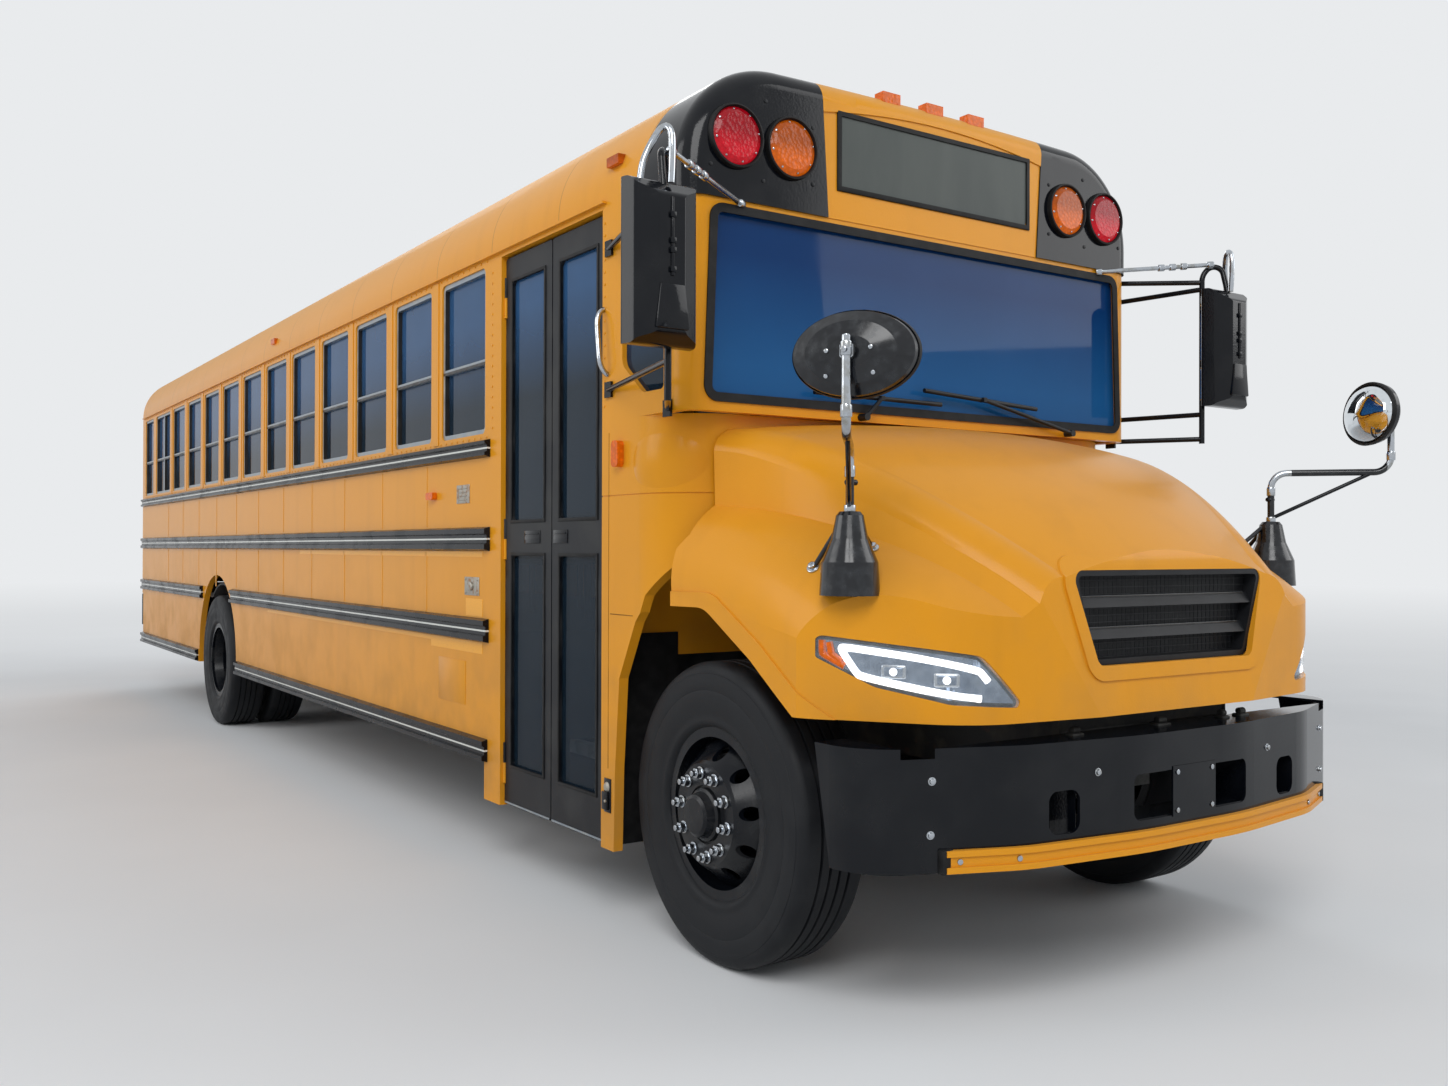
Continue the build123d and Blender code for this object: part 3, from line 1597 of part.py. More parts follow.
def cap_form(inset):
    """The outer form of the front cap with its rounded front edge."""
    face = screen_front - 10 + inset
    outer = roof_form(inset, face, cap_rear, cap_bottom)
    rim = [e for e in outer.edges() if abs(e.center().Y - face) < 0.5 and e.center().Z > cap_bottom + 5]
    return fillet(rim, radius=85 - inset)


# Rear lamps: x, z, radius of each round lamp on the rear wall
rear_red = [(990, 2903, lamp_radius), (960, 1560, 90)]
rear_amber = [(744, 2903, lamp_radius), (960, 1340, 90)]
# Marker lamps: half length and height of the housing, how far it stands out
marker = (45, 18, 26)
roof_markers = [(575, 2915), (5480, 2890)]


def build_lamps():
    """Warning, tail, marker and clearance lamps as red and amber sets."""
    face = screen_front - 10 + lamp_recess - 13 - seat_gap
    red = both_sides(lamp_disc(warning_lamps[1][0], warning_lamps[1][1], face, -1))
    amber = both_sides(lamp_disc(warning_lamps[0][0], warning_lamps[0][1], face, -1))
    for rows, lamps in ((rear_red, red), (rear_amber, amber)):
        for x, z, radius in rows:
            lamp = Pos(x, body_rear + 13 + seat_gap, z) * Rot(-90, 0, 0) * (
                Cylinder(radius, 26) + Pos(0, 0, 13) * Cone(
                    radius, radius - 22, 14, align=(Align.CENTER, Align.CENTER, Align.MIN)
                )
            )
            lamps += both_sides(lamp)
    cap_skin = cap_form(-seat_gap)
    for x in (-230, 0, 230):
        lamp = block(x - marker[0], x + marker[0], 75, 125, 3150, 3222) - cap_skin
        amber.append(sorted(lamp.solids(), key=lambda s: s.volume)[-1])
        red.append(
            block(x - marker[0], x + marker[0], body_rear + seat_gap, body_rear + marker[2], 3110, 3146)
        )
    roof_skin = roof_form(-seat_gap, 0, wall_end, gutter_z)
    for y, z in roof_markers:
        lamp = block(1120, 1196, y - marker[0], y + marker[0], z - marker[1], z + marker[1]) - roof_skin
        amber += both_sides(sorted(lamp.solids(), key=lambda s: s.volume)[-1])
    outside = body_half + seat_gap
    turn = slab_x(rectangle(pillar_front - 70, pillar_front - 20, 1745, 1845), outside, outside + 28, 20)
    amber += both_sides(turn)
    side_marker = slab_x(rectangle(2370, 2460, 1680, 1716), outside, outside + marker[2], 12)
    amber += both_sides(side_marker)
    return red, amber


def build_sign():
    """Blank sign panel in the front cap."""
    face = outline(sign_outline, 20, lambda u, v: (u, screen_front - 8 + 10 - seat_gap, v))
    face = offset(face, amount=-seat_gap)
    return extrude(face, amount=8, dir=(0, -1, 0))


def build_mud_flaps():
    """Rubber flaps behind the front and rear wheels."""
    front = block(872, 1140, firewall_y - 6 - seat_gap, firewall_y - seat_gap, 300, 1110)
    rear_y = rear_axle_y + 640
    rear = block(600, 1140, rear_y, rear_y + 8, 250, floor_top - floor_thick - seat_gap)
    return both_sides(front) + both_sides(rear)


def build_gaskets(opening):
    """Rubber seal round the windshield."""
    face_y = screen_front - seat_gap
    face = outline(opening, 40, lambda u, v: (u, face_y, v))
    outer = extrude(offset(face, amount=16), amount=7, dir=(0, -1, 0))
    return [outer - extrude(offset(face, amount=-16), amount=12, dir=(0, -1, 0))]


# Wipers: pivot x, blade start x and z, blade end x and z
wipers = [(-400, -640, 2020, 0, 2015), (760, -90, 2065, 550, 2032)]


def build_wipers():
    """Two wipers parked along the bottom of the windshield."""
    pieces = []
    y = screen_front - 22
    for pivot_x, x0, z0, x1, z1 in wipers:
        blade = rod((x0, y, z0), (x1, y, z1), 9)
        middle = ((x0 + x1) / 2, y - 12, (z0 + z1) / 2)
        arm = rod((pivot_x, y - 12, cowl_top + 16), middle, 8)
        post = rod((pivot_x, y - 22, cowl_top + 16), (pivot_x, screen_front - seat_gap, cowl_top + 16), 14)
        link = block(middle[0] - 9, middle[0] + 9, y - 20, y + 4, middle[2] - 9, middle[2] + 9)
        pieces.append(blade + arm + post + link)
    return pieces


stop_arm_hinge_y = 3000
stop_arm_z = 1645
stop_arm_x = body_half + rail_stand + 10
octagon_half = 225


def build_stop_arm():
    """Eight-sided blank blade that swings out from the left wall, and its fixed bracket."""
    y = stop_arm_hinge_y + 40 + octagon_half
    corner = octagon_half * math.tan(math.radians(22.5))
    o = octagon_half
    points = [(y - corner, -o), (y + corner, -o), (y + o, -corner), (y + o, corner)]
    points += [(y + corner, o), (y - corner, o), (y - o, corner), (y - o, -corner)]
    points = [(u, v + stop_arm_z) for u, v in points]
    blade = slab_x(points, stop_arm_x, stop_arm_x + 16)
    root = block(
        stop_arm_x, stop_arm_x + 16, stop_arm_hinge_y, y - o + 20, stop_arm_z - 90, stop_arm_z + 90
    )
    hinge = Pos(stop_arm_x + 8, stop_arm_hinge_y, stop_arm_z) * Cylinder(14, 180)
    arm = blade + root + hinge
    housing = block(
        body_half + seat_gap,
        stop_arm_x + 30,
        stop_arm_hinge_y - 130,
        stop_arm_hinge_y - 20,
        stop_arm_z - 75,
        stop_arm_z + 75,
    )
    for side in (1, -1):
        z0, z1 = sorted((stop_arm_z + side * 90.4, stop_arm_z + side * 106))
        ear = block(
            body_half + seat_gap, stop_arm_x + 24, stop_arm_hinge_y - 60, stop_arm_hinge_y + 16, z0, z1
        )
        housing = housing + ear
    housing = housing + block(
        body_half + seat_gap,
        stop_arm_x - 30,
        stop_arm_hinge_y - 130,
        stop_arm_hinge_y - 20,
        stop_arm_z - 106,
        stop_arm_z + 106,
    )
    return arm, housing


def main():
    """Builds every sub-part and writes it."""
    hood, form = build_hood()
    save("hood", hood)
    save("grille", build_grille())
    save("headlamps", *build_headlamps())
    save("fender_liners", *build_fender_liners())
    save("crossview_mirrors", *build_crossview_mirrors(form))

    cowl, opening, quarter = build_cowl()
    save("cowl", cowl)
    middle, panels = build_cap()
    save("front_cap", middle)
    save("lamp_panels", *panels)
    save("roof", build_roof())
    save("side_wall_left", build_left_wall())
    save("side_wall_right", build_right_wall())
    frames, panes = build_window_frames()
    save("window_frames", *frames)
    save("body_glass", *build_front_glass(opening, quarter), *panes, *build_rear_panes())
    save("rub_rails", *build_rub_rails())
    save("rear_wall", build_rear_wall())
    save("floor", *build_floor())
    save("wheel_housings", *build_wheel_housings())
    save("stepwell", build_stepwell())

    (front_leaf, front_panes), (rear_leaf, rear_panes) = build_entrance_doors()
    save("door_front", front_leaf)
    save("door_front_glass", *front_panes)
    save("door_rear", rear_leaf)
    save("door_rear_glass", *rear_panes)
    back_door, back_panes = build_rear_door()
    save("emergency_door", back_door)
    save("emergency_door_glass", *back_panes)

    pads, seat_frames = build_seats()
    driver_pads, pedestal = build_driver_seat()
    save("seats", *pads, *driver_pads)
    save("seat_frames", *seat_frames, pedestal)
    save("dashboard", build_dashboard())
    save("steering_wheel", build_steering_wheel())

    save("frame", build_frame())
    save("front_axle", build_front_axle())
    knuckle = build_knuckle()
    save("knuckle_left", knuckle)
    save("knuckle_right", mirror(knuckle, about=Plane.YZ))
    save("tie_rod", build_tie_rod())
    save("rear_axle", build_rear_axle())
    springs = both_sides(leaf_pack(0, spring_seat_front + seat_gap))
    springs += both_sides(leaf_pack(rear_axle_y, spring_seat_rear + seat_gap))
    save("leaf_springs", *springs)
    save("engine", *build_engine())
    save("driveline", build_driveline())
    save("exhaust", build_exhaust())
    save("fuel_tank", build_fuel_tank())

    lift = Location((0, 0, tyre_radius))
    front_tyre = tyre(front_wheel_x).moved(lift)
    front_wheel = front_wheel_solid().moved(lift)
    save("tyre_front_left", front_tyre)
    save("tyre_front_right", mirror(front_tyre, about=Plane.YZ))
    save("wheel_front_left", front_wheel)
    save("wheel_front_right", mirror(front_wheel, about=Plane.YZ))
    back = Location((0, rear_axle_y, tyre_radius))
    rear_tyres = [tyre(dual_inner_x).moved(back), tyre(dual_outer_x).moved(back)]
    rear_wheel = rear_wheel_solid().moved(back)
    save("tyres_rear_left", *rear_tyres)
    save("tyres_rear_right", *[mirror(t, about=Plane.YZ) for t in rear_tyres])
    save("wheel_rear_left", rear_wheel)
    save("wheel_rear_right", mirror(rear_wheel, about=Plane.YZ))

    bumper, plan = build_front_bumper()
    save("front_bumper", bumper)
    save("bumper_guard", build_bumper_guard(plan))
    save("rear_bumper", build_rear_bumper())
    save("side_mirrors", *both_sides(build_side_mirrors()))
    red, amber = build_lamps()
    save("red_lamps", *red)
    save("amber_lamps", *amber)
    save("front_sign", build_sign())
    save("mud_flaps", *build_mud_flaps())
    save("gaskets", *build_gaskets(opening))
    save("wipers", *build_wipers())
    stop_blade, stop_housing = build_stop_arm()
    save("stop_arm", stop_blade)
    save("stop_arm_bracket", stop_housing)


if __name__ == "__main__":
    main()
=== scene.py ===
import json
import math

import bpy
from bpy.props import BoolProperty, FloatProperty, FloatVectorProperty, PointerProperty
from mathutils import Matrix, Vector

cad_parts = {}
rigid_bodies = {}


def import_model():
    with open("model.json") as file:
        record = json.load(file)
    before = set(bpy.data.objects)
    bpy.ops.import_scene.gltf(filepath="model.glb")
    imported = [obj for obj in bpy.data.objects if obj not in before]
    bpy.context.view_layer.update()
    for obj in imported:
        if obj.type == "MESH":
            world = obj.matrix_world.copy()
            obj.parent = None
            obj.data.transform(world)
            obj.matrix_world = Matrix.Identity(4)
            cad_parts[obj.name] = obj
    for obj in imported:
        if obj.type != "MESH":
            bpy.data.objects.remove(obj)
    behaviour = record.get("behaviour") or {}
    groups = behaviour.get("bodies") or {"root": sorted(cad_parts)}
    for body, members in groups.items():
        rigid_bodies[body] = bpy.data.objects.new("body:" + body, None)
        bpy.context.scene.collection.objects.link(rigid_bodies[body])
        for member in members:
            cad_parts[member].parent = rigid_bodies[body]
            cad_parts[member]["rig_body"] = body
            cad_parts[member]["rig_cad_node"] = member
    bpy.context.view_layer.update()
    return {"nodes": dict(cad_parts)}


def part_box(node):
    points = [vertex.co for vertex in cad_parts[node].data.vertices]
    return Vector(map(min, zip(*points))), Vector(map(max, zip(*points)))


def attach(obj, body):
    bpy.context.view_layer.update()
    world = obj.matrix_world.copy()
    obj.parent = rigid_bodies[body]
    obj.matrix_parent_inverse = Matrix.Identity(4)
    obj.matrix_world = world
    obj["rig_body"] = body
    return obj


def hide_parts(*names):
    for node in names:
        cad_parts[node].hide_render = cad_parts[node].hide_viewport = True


bl_info = {
    "name": "School bus finish",
    "version": (1, 0, 0),
    "blender": (4, 5, 0),
    "location": "View3D > Sidebar > School Bus",
    "description": "Dresses the CAD frame of a school bus with its materials, tyres, lamps and fittings",
    "category": "Object",
}

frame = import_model()

# The middle of the bus and the rear axle lie this far behind the front axle
axle_to_middle = 4.775
wheelbase = 7.19
wheel_height = 0.525
front_axle_y = -axle_to_middle
rear_axle_y = wheelbase - axle_to_middle
# Outside of the body from its middle
body_side = 1.190
# Windows: start of the first behind the front axle, distance from one to the next, width
window_start = 1.780
window_pitch = 0.672
window_width = 0.530
# Bottom and top of each rub rail
rub_rails = ((1.855, 1.938), (1.426, 1.537), (1.006, 1.116), (0.462, 0.566))
# Warning lamps: radius, height, distance of each colour from the middle
lamp_radius = 0.102
lamp_height = 2.903
amber_x = 0.744
red_x = 0.990


def linear(code):
    """An sRGB hex value as a linear colour."""
    parts = [int(code[start:start + 2], 16) / 255 for start in (0, 2, 4)]
    return [part / 12.92 if part <= 0.04045 else ((part + 0.055) / 1.055) ** 2.4 for part in parts]


def aft(distance):
    """Row Y of a point that lies this far behind the front axle, in metres."""
    return distance - axle_to_middle


def post_y(number):
    """Row Y of the middle of a window post, counted from the front."""
    return aft(window_start + window_pitch * number + window_width) + (window_pitch - window_width) / 2


class BusColours(bpy.types.PropertyGroup):
    yellow: FloatVectorProperty(
        name="Body yellow", description="Sprayed enamel of the body and hood",
        subtype="COLOR", default=linear("DE9418"), min=0, max=1,
    )
    black: FloatVectorProperty(
        name="Trim black", description="Enamel of the bumpers, lamp panels, rails and doors",
        subtype="COLOR", default=linear("090C12"), min=0, max=1,
    )
    glass: FloatVectorProperty(
        name="Glass tint", description="Tint of the side windows and door panes",
        subtype="COLOR", default=linear("1A2936"), min=0, max=1,
    )
    red: FloatVectorProperty(
        name="Red lens", description="Colour of the red lamp lenses",
        subtype="COLOR", default=linear("BC0A1E"), min=0, max=1,
    )
    amber: FloatVectorProperty(
        name="Amber lens", description="Colour of the amber lamp lenses",
        subtype="COLOR", default=linear("D05E06"), min=0, max=1,
    )
    seat: FloatVectorProperty(
        name="Seat vinyl", description="Colour of the seat covers",
        subtype="COLOR", default=linear("2A3442"), min=0, max=1,
    )


class BusSizes(bpy.types.PropertyGroup):
    nut_width: FloatProperty(
        name="Wheel nut width", description="Across the flats of a wheel nut",
        default=0.033, min=0.02, max=0.05, unit="LENGTH",
    )
    rivet_width: FloatProperty(
        name="Rivet width", description="Diameter of a body rivet's head",
        default=0.011, min=0.004, max=0.03, unit="LENGTH",
    )
    groove_depth: FloatProperty(
        name="Tread depth", description="Depth of the grooves round a tyre",
        default=0.012, min=0.002, max=0.03, unit="LENGTH",
    )
    show_floor: BoolProperty(
        name="Show floor", description="Lays the pale floor under the bus", default=True,
    )


# Modelling helpers

def begin():
    """Leaves edit mode with nothing selected."""
    if bpy.context.object and bpy.context.object.mode != "OBJECT":
        bpy.ops.object.mode_set(mode="OBJECT")
    bpy.ops.object.select_all(action="DESELECT")


def take(obj):
    """Makes one object the only selected and active one."""
    begin()
    obj.select_set(True)
    bpy.context.view_layer.objects.active = obj
    return obj


def settle(obj):
    """Puts the object's place into its mesh."""
    take(obj)
    bpy.ops.object.transform_apply(location=True, rotation=True, scale=True)
    return obj


def finish_piece(obj, name, body, paint, smooth=35):
    """Names a piece, gives it its finish and hangs it on a body of the frame."""
    settle(obj)
    obj.name = name
    obj.data.name = name
    bpy.ops.object.shade_smooth_by_angle(angle=math.radians(smooth))
    obj.data.materials.clear()
    obj.data.materials.append(finish(paint))
    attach(obj, body)
    return obj


def edit_all():
    """Enters edit mode with the whole mesh selected."""
    bpy.ops.object.mode_set(mode="EDIT")
    bpy.ops.mesh.select_all(action="SELECT")


def bevel_all(width, segments=2):
    """Rounds every edge of the mesh in edit mode."""
    edit_all()
    bpy.ops.mesh.bevel(offset=width, segments=segments, affect="EDGES")
    bpy.ops.mesh.normals_make_consistent(inside=False)
    bpy.ops.object.mode_set(mode="OBJECT")


def block(low, high, rounding=0.0, segments=2):
    """A rounded box between two corners."""
    begin()
    middle = [(a + b) / 2 for a, b in zip(low, high)]
    size = [b - a for a, b in zip(low, high)]
    bpy.ops.mesh.primitive_cube_add(size=1, location=middle, scale=size)
    obj = settle(bpy.context.object)
    if rounding:
        bevel_all(rounding, segments)
    return obj


def bar(start, end, radius, sides=16, rounding=0.0):
    """A round bar between two points."""
    begin()
    a, b = Vector(start), Vector(end)
    along = b - a
    middle = (a + b) / 2
    bpy.ops.mesh.primitive_cylinder_add(vertices=sides, radius=radius, depth=along.length, location=middle)
    obj = bpy.context.object
    obj.rotation_mode = "QUATERNION"
    obj.rotation_quaternion = Vector((0, 0, 1)).rotation_difference(along)
    settle(obj)
    if rounding:
        bevel_all(rounding, 2)
    return obj


def spun(profile, centre, axis="X", steps=64):
    """A shape of revolution from (along, radius) points, about an axis through the centre."""
    begin()
    bpy.ops.mesh.primitive_plane_add(size=0.01, location=centre)
    obj = settle(bpy.context.object)
    edit_all()
    bpy.ops.mesh.merge(type="CENTER")
    side = Vector((0, 0, 1)) if axis != "Z" else Vector((0, 1, 0))
    along = {"X": Vector((1, 0, 0)), "Y": Vector((0, 1, 0)), "Z": Vector((0, 0, 1))}[axis]
    previous = Vector((0, 0, 0))
    for number, (distance, radius) in enumerate(profile):
        point = along * distance + side * radius
        step = point - previous
        if number == 0:
            bpy.ops.transform.translate(value=step)
        else:
            bpy.ops.mesh.extrude_region_move(TRANSFORM_OT_translate={"value": step})
        previous = point
    bpy.ops.mesh.select_all(action="SELECT")
    bpy.ops.mesh.spin(steps=steps, angle=2 * math.pi, center=centre, axis=along)
    bpy.ops.mesh.select_all(action="SELECT")
    bpy.ops.mesh.remove_doubles(threshold=0.00002)
    bpy.ops.mesh.normals_make_consistent(inside=False)
    bpy.ops.object.mode_set(mode="OBJECT")
    return obj


def joined(objects):
    """Several objects as one."""
    begin()
    for obj in objects:
        obj.select_set(True)
    bpy.context.view_layer.objects.active = objects[0]
    if len(objects) > 1:
        bpy.ops.object.join()
    return objects[0]


def copy_to(source, places):
    """The source modelled once and copied to each place as one piece."""
    twins = []
    for place in places:
        twin = source.copy()
        twin.data = source.data.copy()
        twin.location = Vector(source.location) + Vector(place)
        bpy.context.collection.objects.link(twin)
        twins.append(twin)
    bpy.data.objects.remove(source)
    return settle(joined(twins))


def mirrored(obj):
    """The piece with its mirror image across the middle of the bus."""
    twin = obj.copy()
    twin.data = obj.data.copy()
    bpy.context.collection.objects.link(twin)
    take(twin)
    twin.scale.x = -1
    bpy.ops.object.transform_apply(location=True, rotation=True, scale=True)
    edit_all()
    bpy.ops.mesh.normals_make_consistent(inside=False)
    bpy.ops.object.mode_set(mode="OBJECT")
    return joined([obj, twin])


def curve_tube(points, radius, order=3):
    """A smooth round tube along points, turned into a mesh."""
    begin()
    data = bpy.data.curves.new("tube", "CURVE")
    data.dimensions = "3D"
    spline = data.splines.new("NURBS")
    spline.points.add(len(points) - 1)
    for point, place in zip(spline.points, points):
        point.co = (*place, 1)
    spline.order_u = order
    spline.use_endpoint_u = True
    data.bevel_depth = radius
    data.bevel_resolution = 3
    data.resolution_u = 8
    data.use_fill_caps = True
    obj = bpy.data.objects.new("tube", data)
    bpy.context.collection.objects.link(obj)
    take(obj)
    bpy.ops.object.convert(target="MESH")
    return bpy.context.object


def placed(obj, centre, angle):
    """Turns a piece modelled at the origin about Z and moves it to its place."""
    take(obj)
    obj.rotation_euler.z = angle
    obj.location = centre
    return settle(obj)


def squashed(obj, share):
    """Flattens a piece modelled at the origin along Z."""
    take(obj)
    obj.scale.z = share
    return settle(obj)


def frame_round(low, high, width, rounding):
    """A picture frame in the XZ plane: a block with its middle cut out."""
    outer = block(low, high, rounding, 3)
    through = 0.02
    hole_low = (low[0] + width, low[1] - through, low[2] + width)
    hole_high = (high[0] - width, high[1] + through, high[2] - width)
    hole = block(hole_low, hole_high)
    cut = outer.modifiers.new("hole", "BOOLEAN")
    cut.operation = "DIFFERENCE"
    cut.object = hole
    cut.solver = "EXACT"
    take(outer)
    bpy.ops.object.modifier_apply(modifier="hole")
    bpy.data.objects.remove(hole)
    return outer


def surface(node_name, start, direction, out=0.0):
    """Where a line from a point first meets a CAD node, moved out from its skin, and the skin's normal."""
    hit, place, normal, _ = frame["nodes"][node_name].ray_cast(Vector(start), Vector(direction))
    if not hit:
        raise RuntimeError(f"no skin of {node_name} in the way from {start}")
    if normal.dot(Vector(direction)) > 0:
        normal = -normal
    return place + normal * out, normal


def from_front(node_name, x, z, out=0.0):
    """The same for a line from well in front of the bus, straight back."""
    ahead = -9
    return surface(node_name, (x, ahead, z), (0, 1, 0), out)


def stud(spot, sunk, proud, radius, sides, rounding):
    """A short bar square to the skin at a spot, which is a place and the skin's normal there."""
    place, normal = spot
    return bar(place - normal * sunk, place + normal * proud, radius, sides, rounding)


# Materials

def node(tree, kind, inputs=None, **settings):
    """Adds one node with its settings, values and links."""
    made = tree.nodes.new(kind)
    for key, value in settings.items():
        setattr(made, key, value)
    for key, value in (inputs or {}).items():
        if isinstance(value, bpy.types.NodeSocket):
            tree.links.new(value, made.inputs[key])
        else:
            made.inputs[key].default_value = value
    return made


def blank(name):
    """An empty material with its coordinates and shader."""
    paint = bpy.data.materials.new(name)
    paint.use_nodes = True
    tree = paint.node_tree
    tree.nodes.clear()
    shader = node(tree, "ShaderNodeBsdfPrincipled")
    node(tree, "ShaderNodeOutputMaterial", {"Surface": shader.outputs[0]})
    place = node(tree, "ShaderNodeTexCoord").outputs["Object"]
    return paint, tree, shader, place


def noise(tree, place, size, detail=3.0, rough=0.5):
    """Noise whose patches are about size metres wide."""
    made = node(tree, "ShaderNodeTexNoise", {
        "Vector": place, "Scale": 1 / size, "Detail": detail, "Roughness": rough,
    })
    return made.outputs["Fac"]


def cells(tree, place, size, feature="F1"):
    """The distance in a pattern of cells about size metres wide."""
    made = node(tree, "ShaderNodeTexVoronoi", {"Vector": place, "Scale": 1 / size}, feature=feature)
    return made.outputs["Distance"]


def ranged(tree, value, low, high, to_low, to_high):
    """A value mapped from one range to another and clamped."""
    return node(tree, "ShaderNodeMapRange", {
        "Value": value, "From Min": low, "From Max": high, "To Min": to_low, "To Max": to_high,
    }).outputs["Result"]


def patches(tree, place, size, detail, low, high, most):
    """Soft patches: 0 where the noise is under low, up to most where it is over high."""
    return ranged(tree, noise(tree, place, size, detail), low, high, 0, most)


def blended(tree, share, first, second):
    """Two colours mixed by a share."""
    made = node(tree, "ShaderNodeMix", {0: share, 6: first, 7: second}, data_type="RGBA")
    return made.outputs[2]


def bump(tree, height, depth, strength=1.0):
    """A normal from a height, depth in metres."""
    made = node(tree, "ShaderNodeBump", {"Height": height, "Distance": depth, "Strength": strength})
    return made.outputs["Normal"]


def rgba(colour):
    """A colour with full alpha."""
    return (*colour[:3], 1.0)


def shifted(colour, share, target):
    """A colour moved a share of the way to another."""
    return rgba([a + (b - a) * share for a, b in zip(colour, target)])


def stretched(tree, place, scale):
    """Coordinates stretched on each axis."""
    return node(tree, "ShaderNodeMapping", {"Vector": place, "Scale": scale}).outputs["Vector"]


def math_node(tree, operation, *values):
    """One Math node's result."""
    return node(tree, "ShaderNodeMath", dict(enumerate(values)), operation=operation).outputs[0]


def split(tree, vector):
    """The X, Y and Z of a vector."""
    return node(tree, "ShaderNodeSeparateXYZ", {"Vector": vector}).outputs


def facing(tree, axis):
    """How far a face looks along an axis, from -1 to 1."""
    return split(tree, node(tree, "ShaderNodeNewGeometry").outputs["Normal"])[axis]


def two_tone(tree, shader, share, first, second):
    """Blends the base colour from one hex value to another by a share."""
    mixed = blended(tree, share, rgba(linear(first)), rgba(linear(second)))
    tree.links.new(mixed, shader.inputs["Base Color"])


def yellow_enamel(name, road, mud):
    """Sprayed alkyd enamel on steel, a few years old: road film low down and mud all over, from 0 to 1; in
    the wheel arches the mud also stands for painted shade.
    """
    # Gives a warm gloss, faded in patches, with painted sky reflection that makes upward faces paler (a
    # little everywhere, most on the roof), faint seams of the roof sheets and orange peel
    paint, tree, shader, place = blank(name)
    yellow = bpy.context.scene.bus_colours.yellow
    height = split(tree, place)["Z"]
    blotches = noise(tree, place, 0.9)
    streaks = noise(tree, stretched(tree, place, (1, 1, 0.12)), 0.14)
    fade = ranged(tree, blotches, 0.35, 0.7, 0, 0.4)
    faded = blended(tree, fade, rgba(yellow), shifted(yellow, 0.07, linear("F0C98A")))
    stain = ranged(tree, streaks, 0.52, 0.75, 0, 0.4 * road)
    stained = blended(tree, stain, faded, shifted(yellow, 0.5, linear("6B4A1C")))
    # Painted sky reflection: upward faces are painted a paler, greyer yellow and made rougher, a little
    # everywhere and most on the roof
    roof = ranged(tree, height, 2.7, 2.85, 0.1, 0.7)
    painted_sky_reflection = math_node(tree, "MULTIPLY", ranged(tree, facing(tree, "Z"), 0.2, 0.95, 0, 1), roof)
    sky_reflected_colour = blended(tree, painted_sky_reflection, stained, rgba(linear("D3A56A")))
    low = ranged(tree, height, 0.35, 1.5, road, 0.0)
    dusty = noise(tree, place, 0.22, 5)
    film = math_node(tree, "MULTIPLY", low, ranged(tree, dusty, 0.4, 0.65, 0.1, 1.0))
    film = math_node(tree, "ADD", film, ranged(tree, dusty, 0.35, 0.65, mud * 0.7, mud))
    # A muddy finish darkens towards 2C2013; in the wheel arches this is partly mud and partly painted shade
    colour = blended(tree, film, sky_reflected_colour, rgba(linear("8C7250" if mud == 0 else "2C2013")))
    # Roof sheets meet at every window post
    from_first = math_node(tree, "ADD", split(tree, place)["Y"], -post_y(0))
    from_seam = math_node(tree, "PINGPONG", from_first, window_pitch / 2)
    on_roof = ranged(tree, height, 2.78, 2.79, 0, 1)
    seam = math_node(tree, "MULTIPLY", ranged(tree, from_seam, 0.002, 0.005, 0.5, 0), on_roof)
    seamed = blended(tree, seam, colour, shifted(yellow, 0.75, linear("3A2A10")))
    peel = noise(tree, place, 0.006, 2)
    dents = noise(tree, place, 0.5, 1)
    tree.links.new(seamed, shader.inputs["Base Color"])
    dulled = math_node(tree, "ADD", film, painted_sky_reflection)
    tree.links.new(ranged(tree, dulled, 0, 0.6, 0.28, 0.6), shader.inputs["Roughness"])
    tree.links.new(bump(tree, math_node(tree, "ADD", peel, dents), 0.0012, 0.35), shader.inputs["Normal"])
    shader.inputs["Specular IOR Level"].default_value = 0.15
    shader.inputs["Coat Weight"].default_value = 0.08
    shader.inputs["Coat Roughness"].default_value = 0.12
    return paint


def black_enamel(name, roughness, dust):
    """Black enamel, smoother or duller, with some road dust."""
    paint, tree, shader, place = blank(name)
    black = bpy.context.scene.bus_colours.black
    film = patches(tree, place, 0.18, 5, 0.45, 0.75, dust)
    tree.links.new(blended(tree, film, rgba(black), rgba(linear("5A5A58"))), shader.inputs["Base Color"])
    tree.links.new(ranged(tree, film, 0, 0.5, roughness, roughness + 0.3), shader.inputs["Roughness"])
    tree.links.new(bump(tree, noise(tree, place, 0.008, 2), 0.0004, 0.5), shader.inputs["Normal"])
    shader.inputs["Specular IOR Level"].default_value = 0.25
    return paint


def chassis_paint():
    """Brushed-on chassis black over hot-rolled steel."""
    # Gives a matt dark surface with dried mud and a little rust
    paint, tree, shader, place = blank("chassis_black")
    mud = patches(tree, place, 0.12, 6, 0.5, 0.72, 0.55)
    rust = patches(tree, place, 0.05, 5, 0.62, 0.75, 0.5)
    dirty = blended(tree, mud, rgba(linear("141414")), rgba(linear("4E473C")))
    tree.links.new(blended(tree, rust, dirty, rgba(linear("4A2A18"))), shader.inputs["Base Color"])
    tree.links.new(bump(tree, noise(tree, place, 0.02, 6), 0.003, 0.6), shader.inputs["Normal"])
    shader.inputs["Roughness"].default_value = 0.75
    return paint


def cast_metal():
    """Sand-cast iron under old oil."""
    paint, tree, shader, place = blank("cast_iron_block")
    grime = patches(tree, place, 0.08, 6, 0.4, 0.7, 1)
    two_tone(tree, shader, grime, "4A4A48", "1C1A18")
    tree.links.new(bump(tree, noise(tree, place, 0.006, 4), 0.002, 0.8), shader.inputs["Normal"])
    shader.inputs["Metallic"].default_value = 0.6
    shader.inputs["Roughness"].default_value = 0.65
    return paint


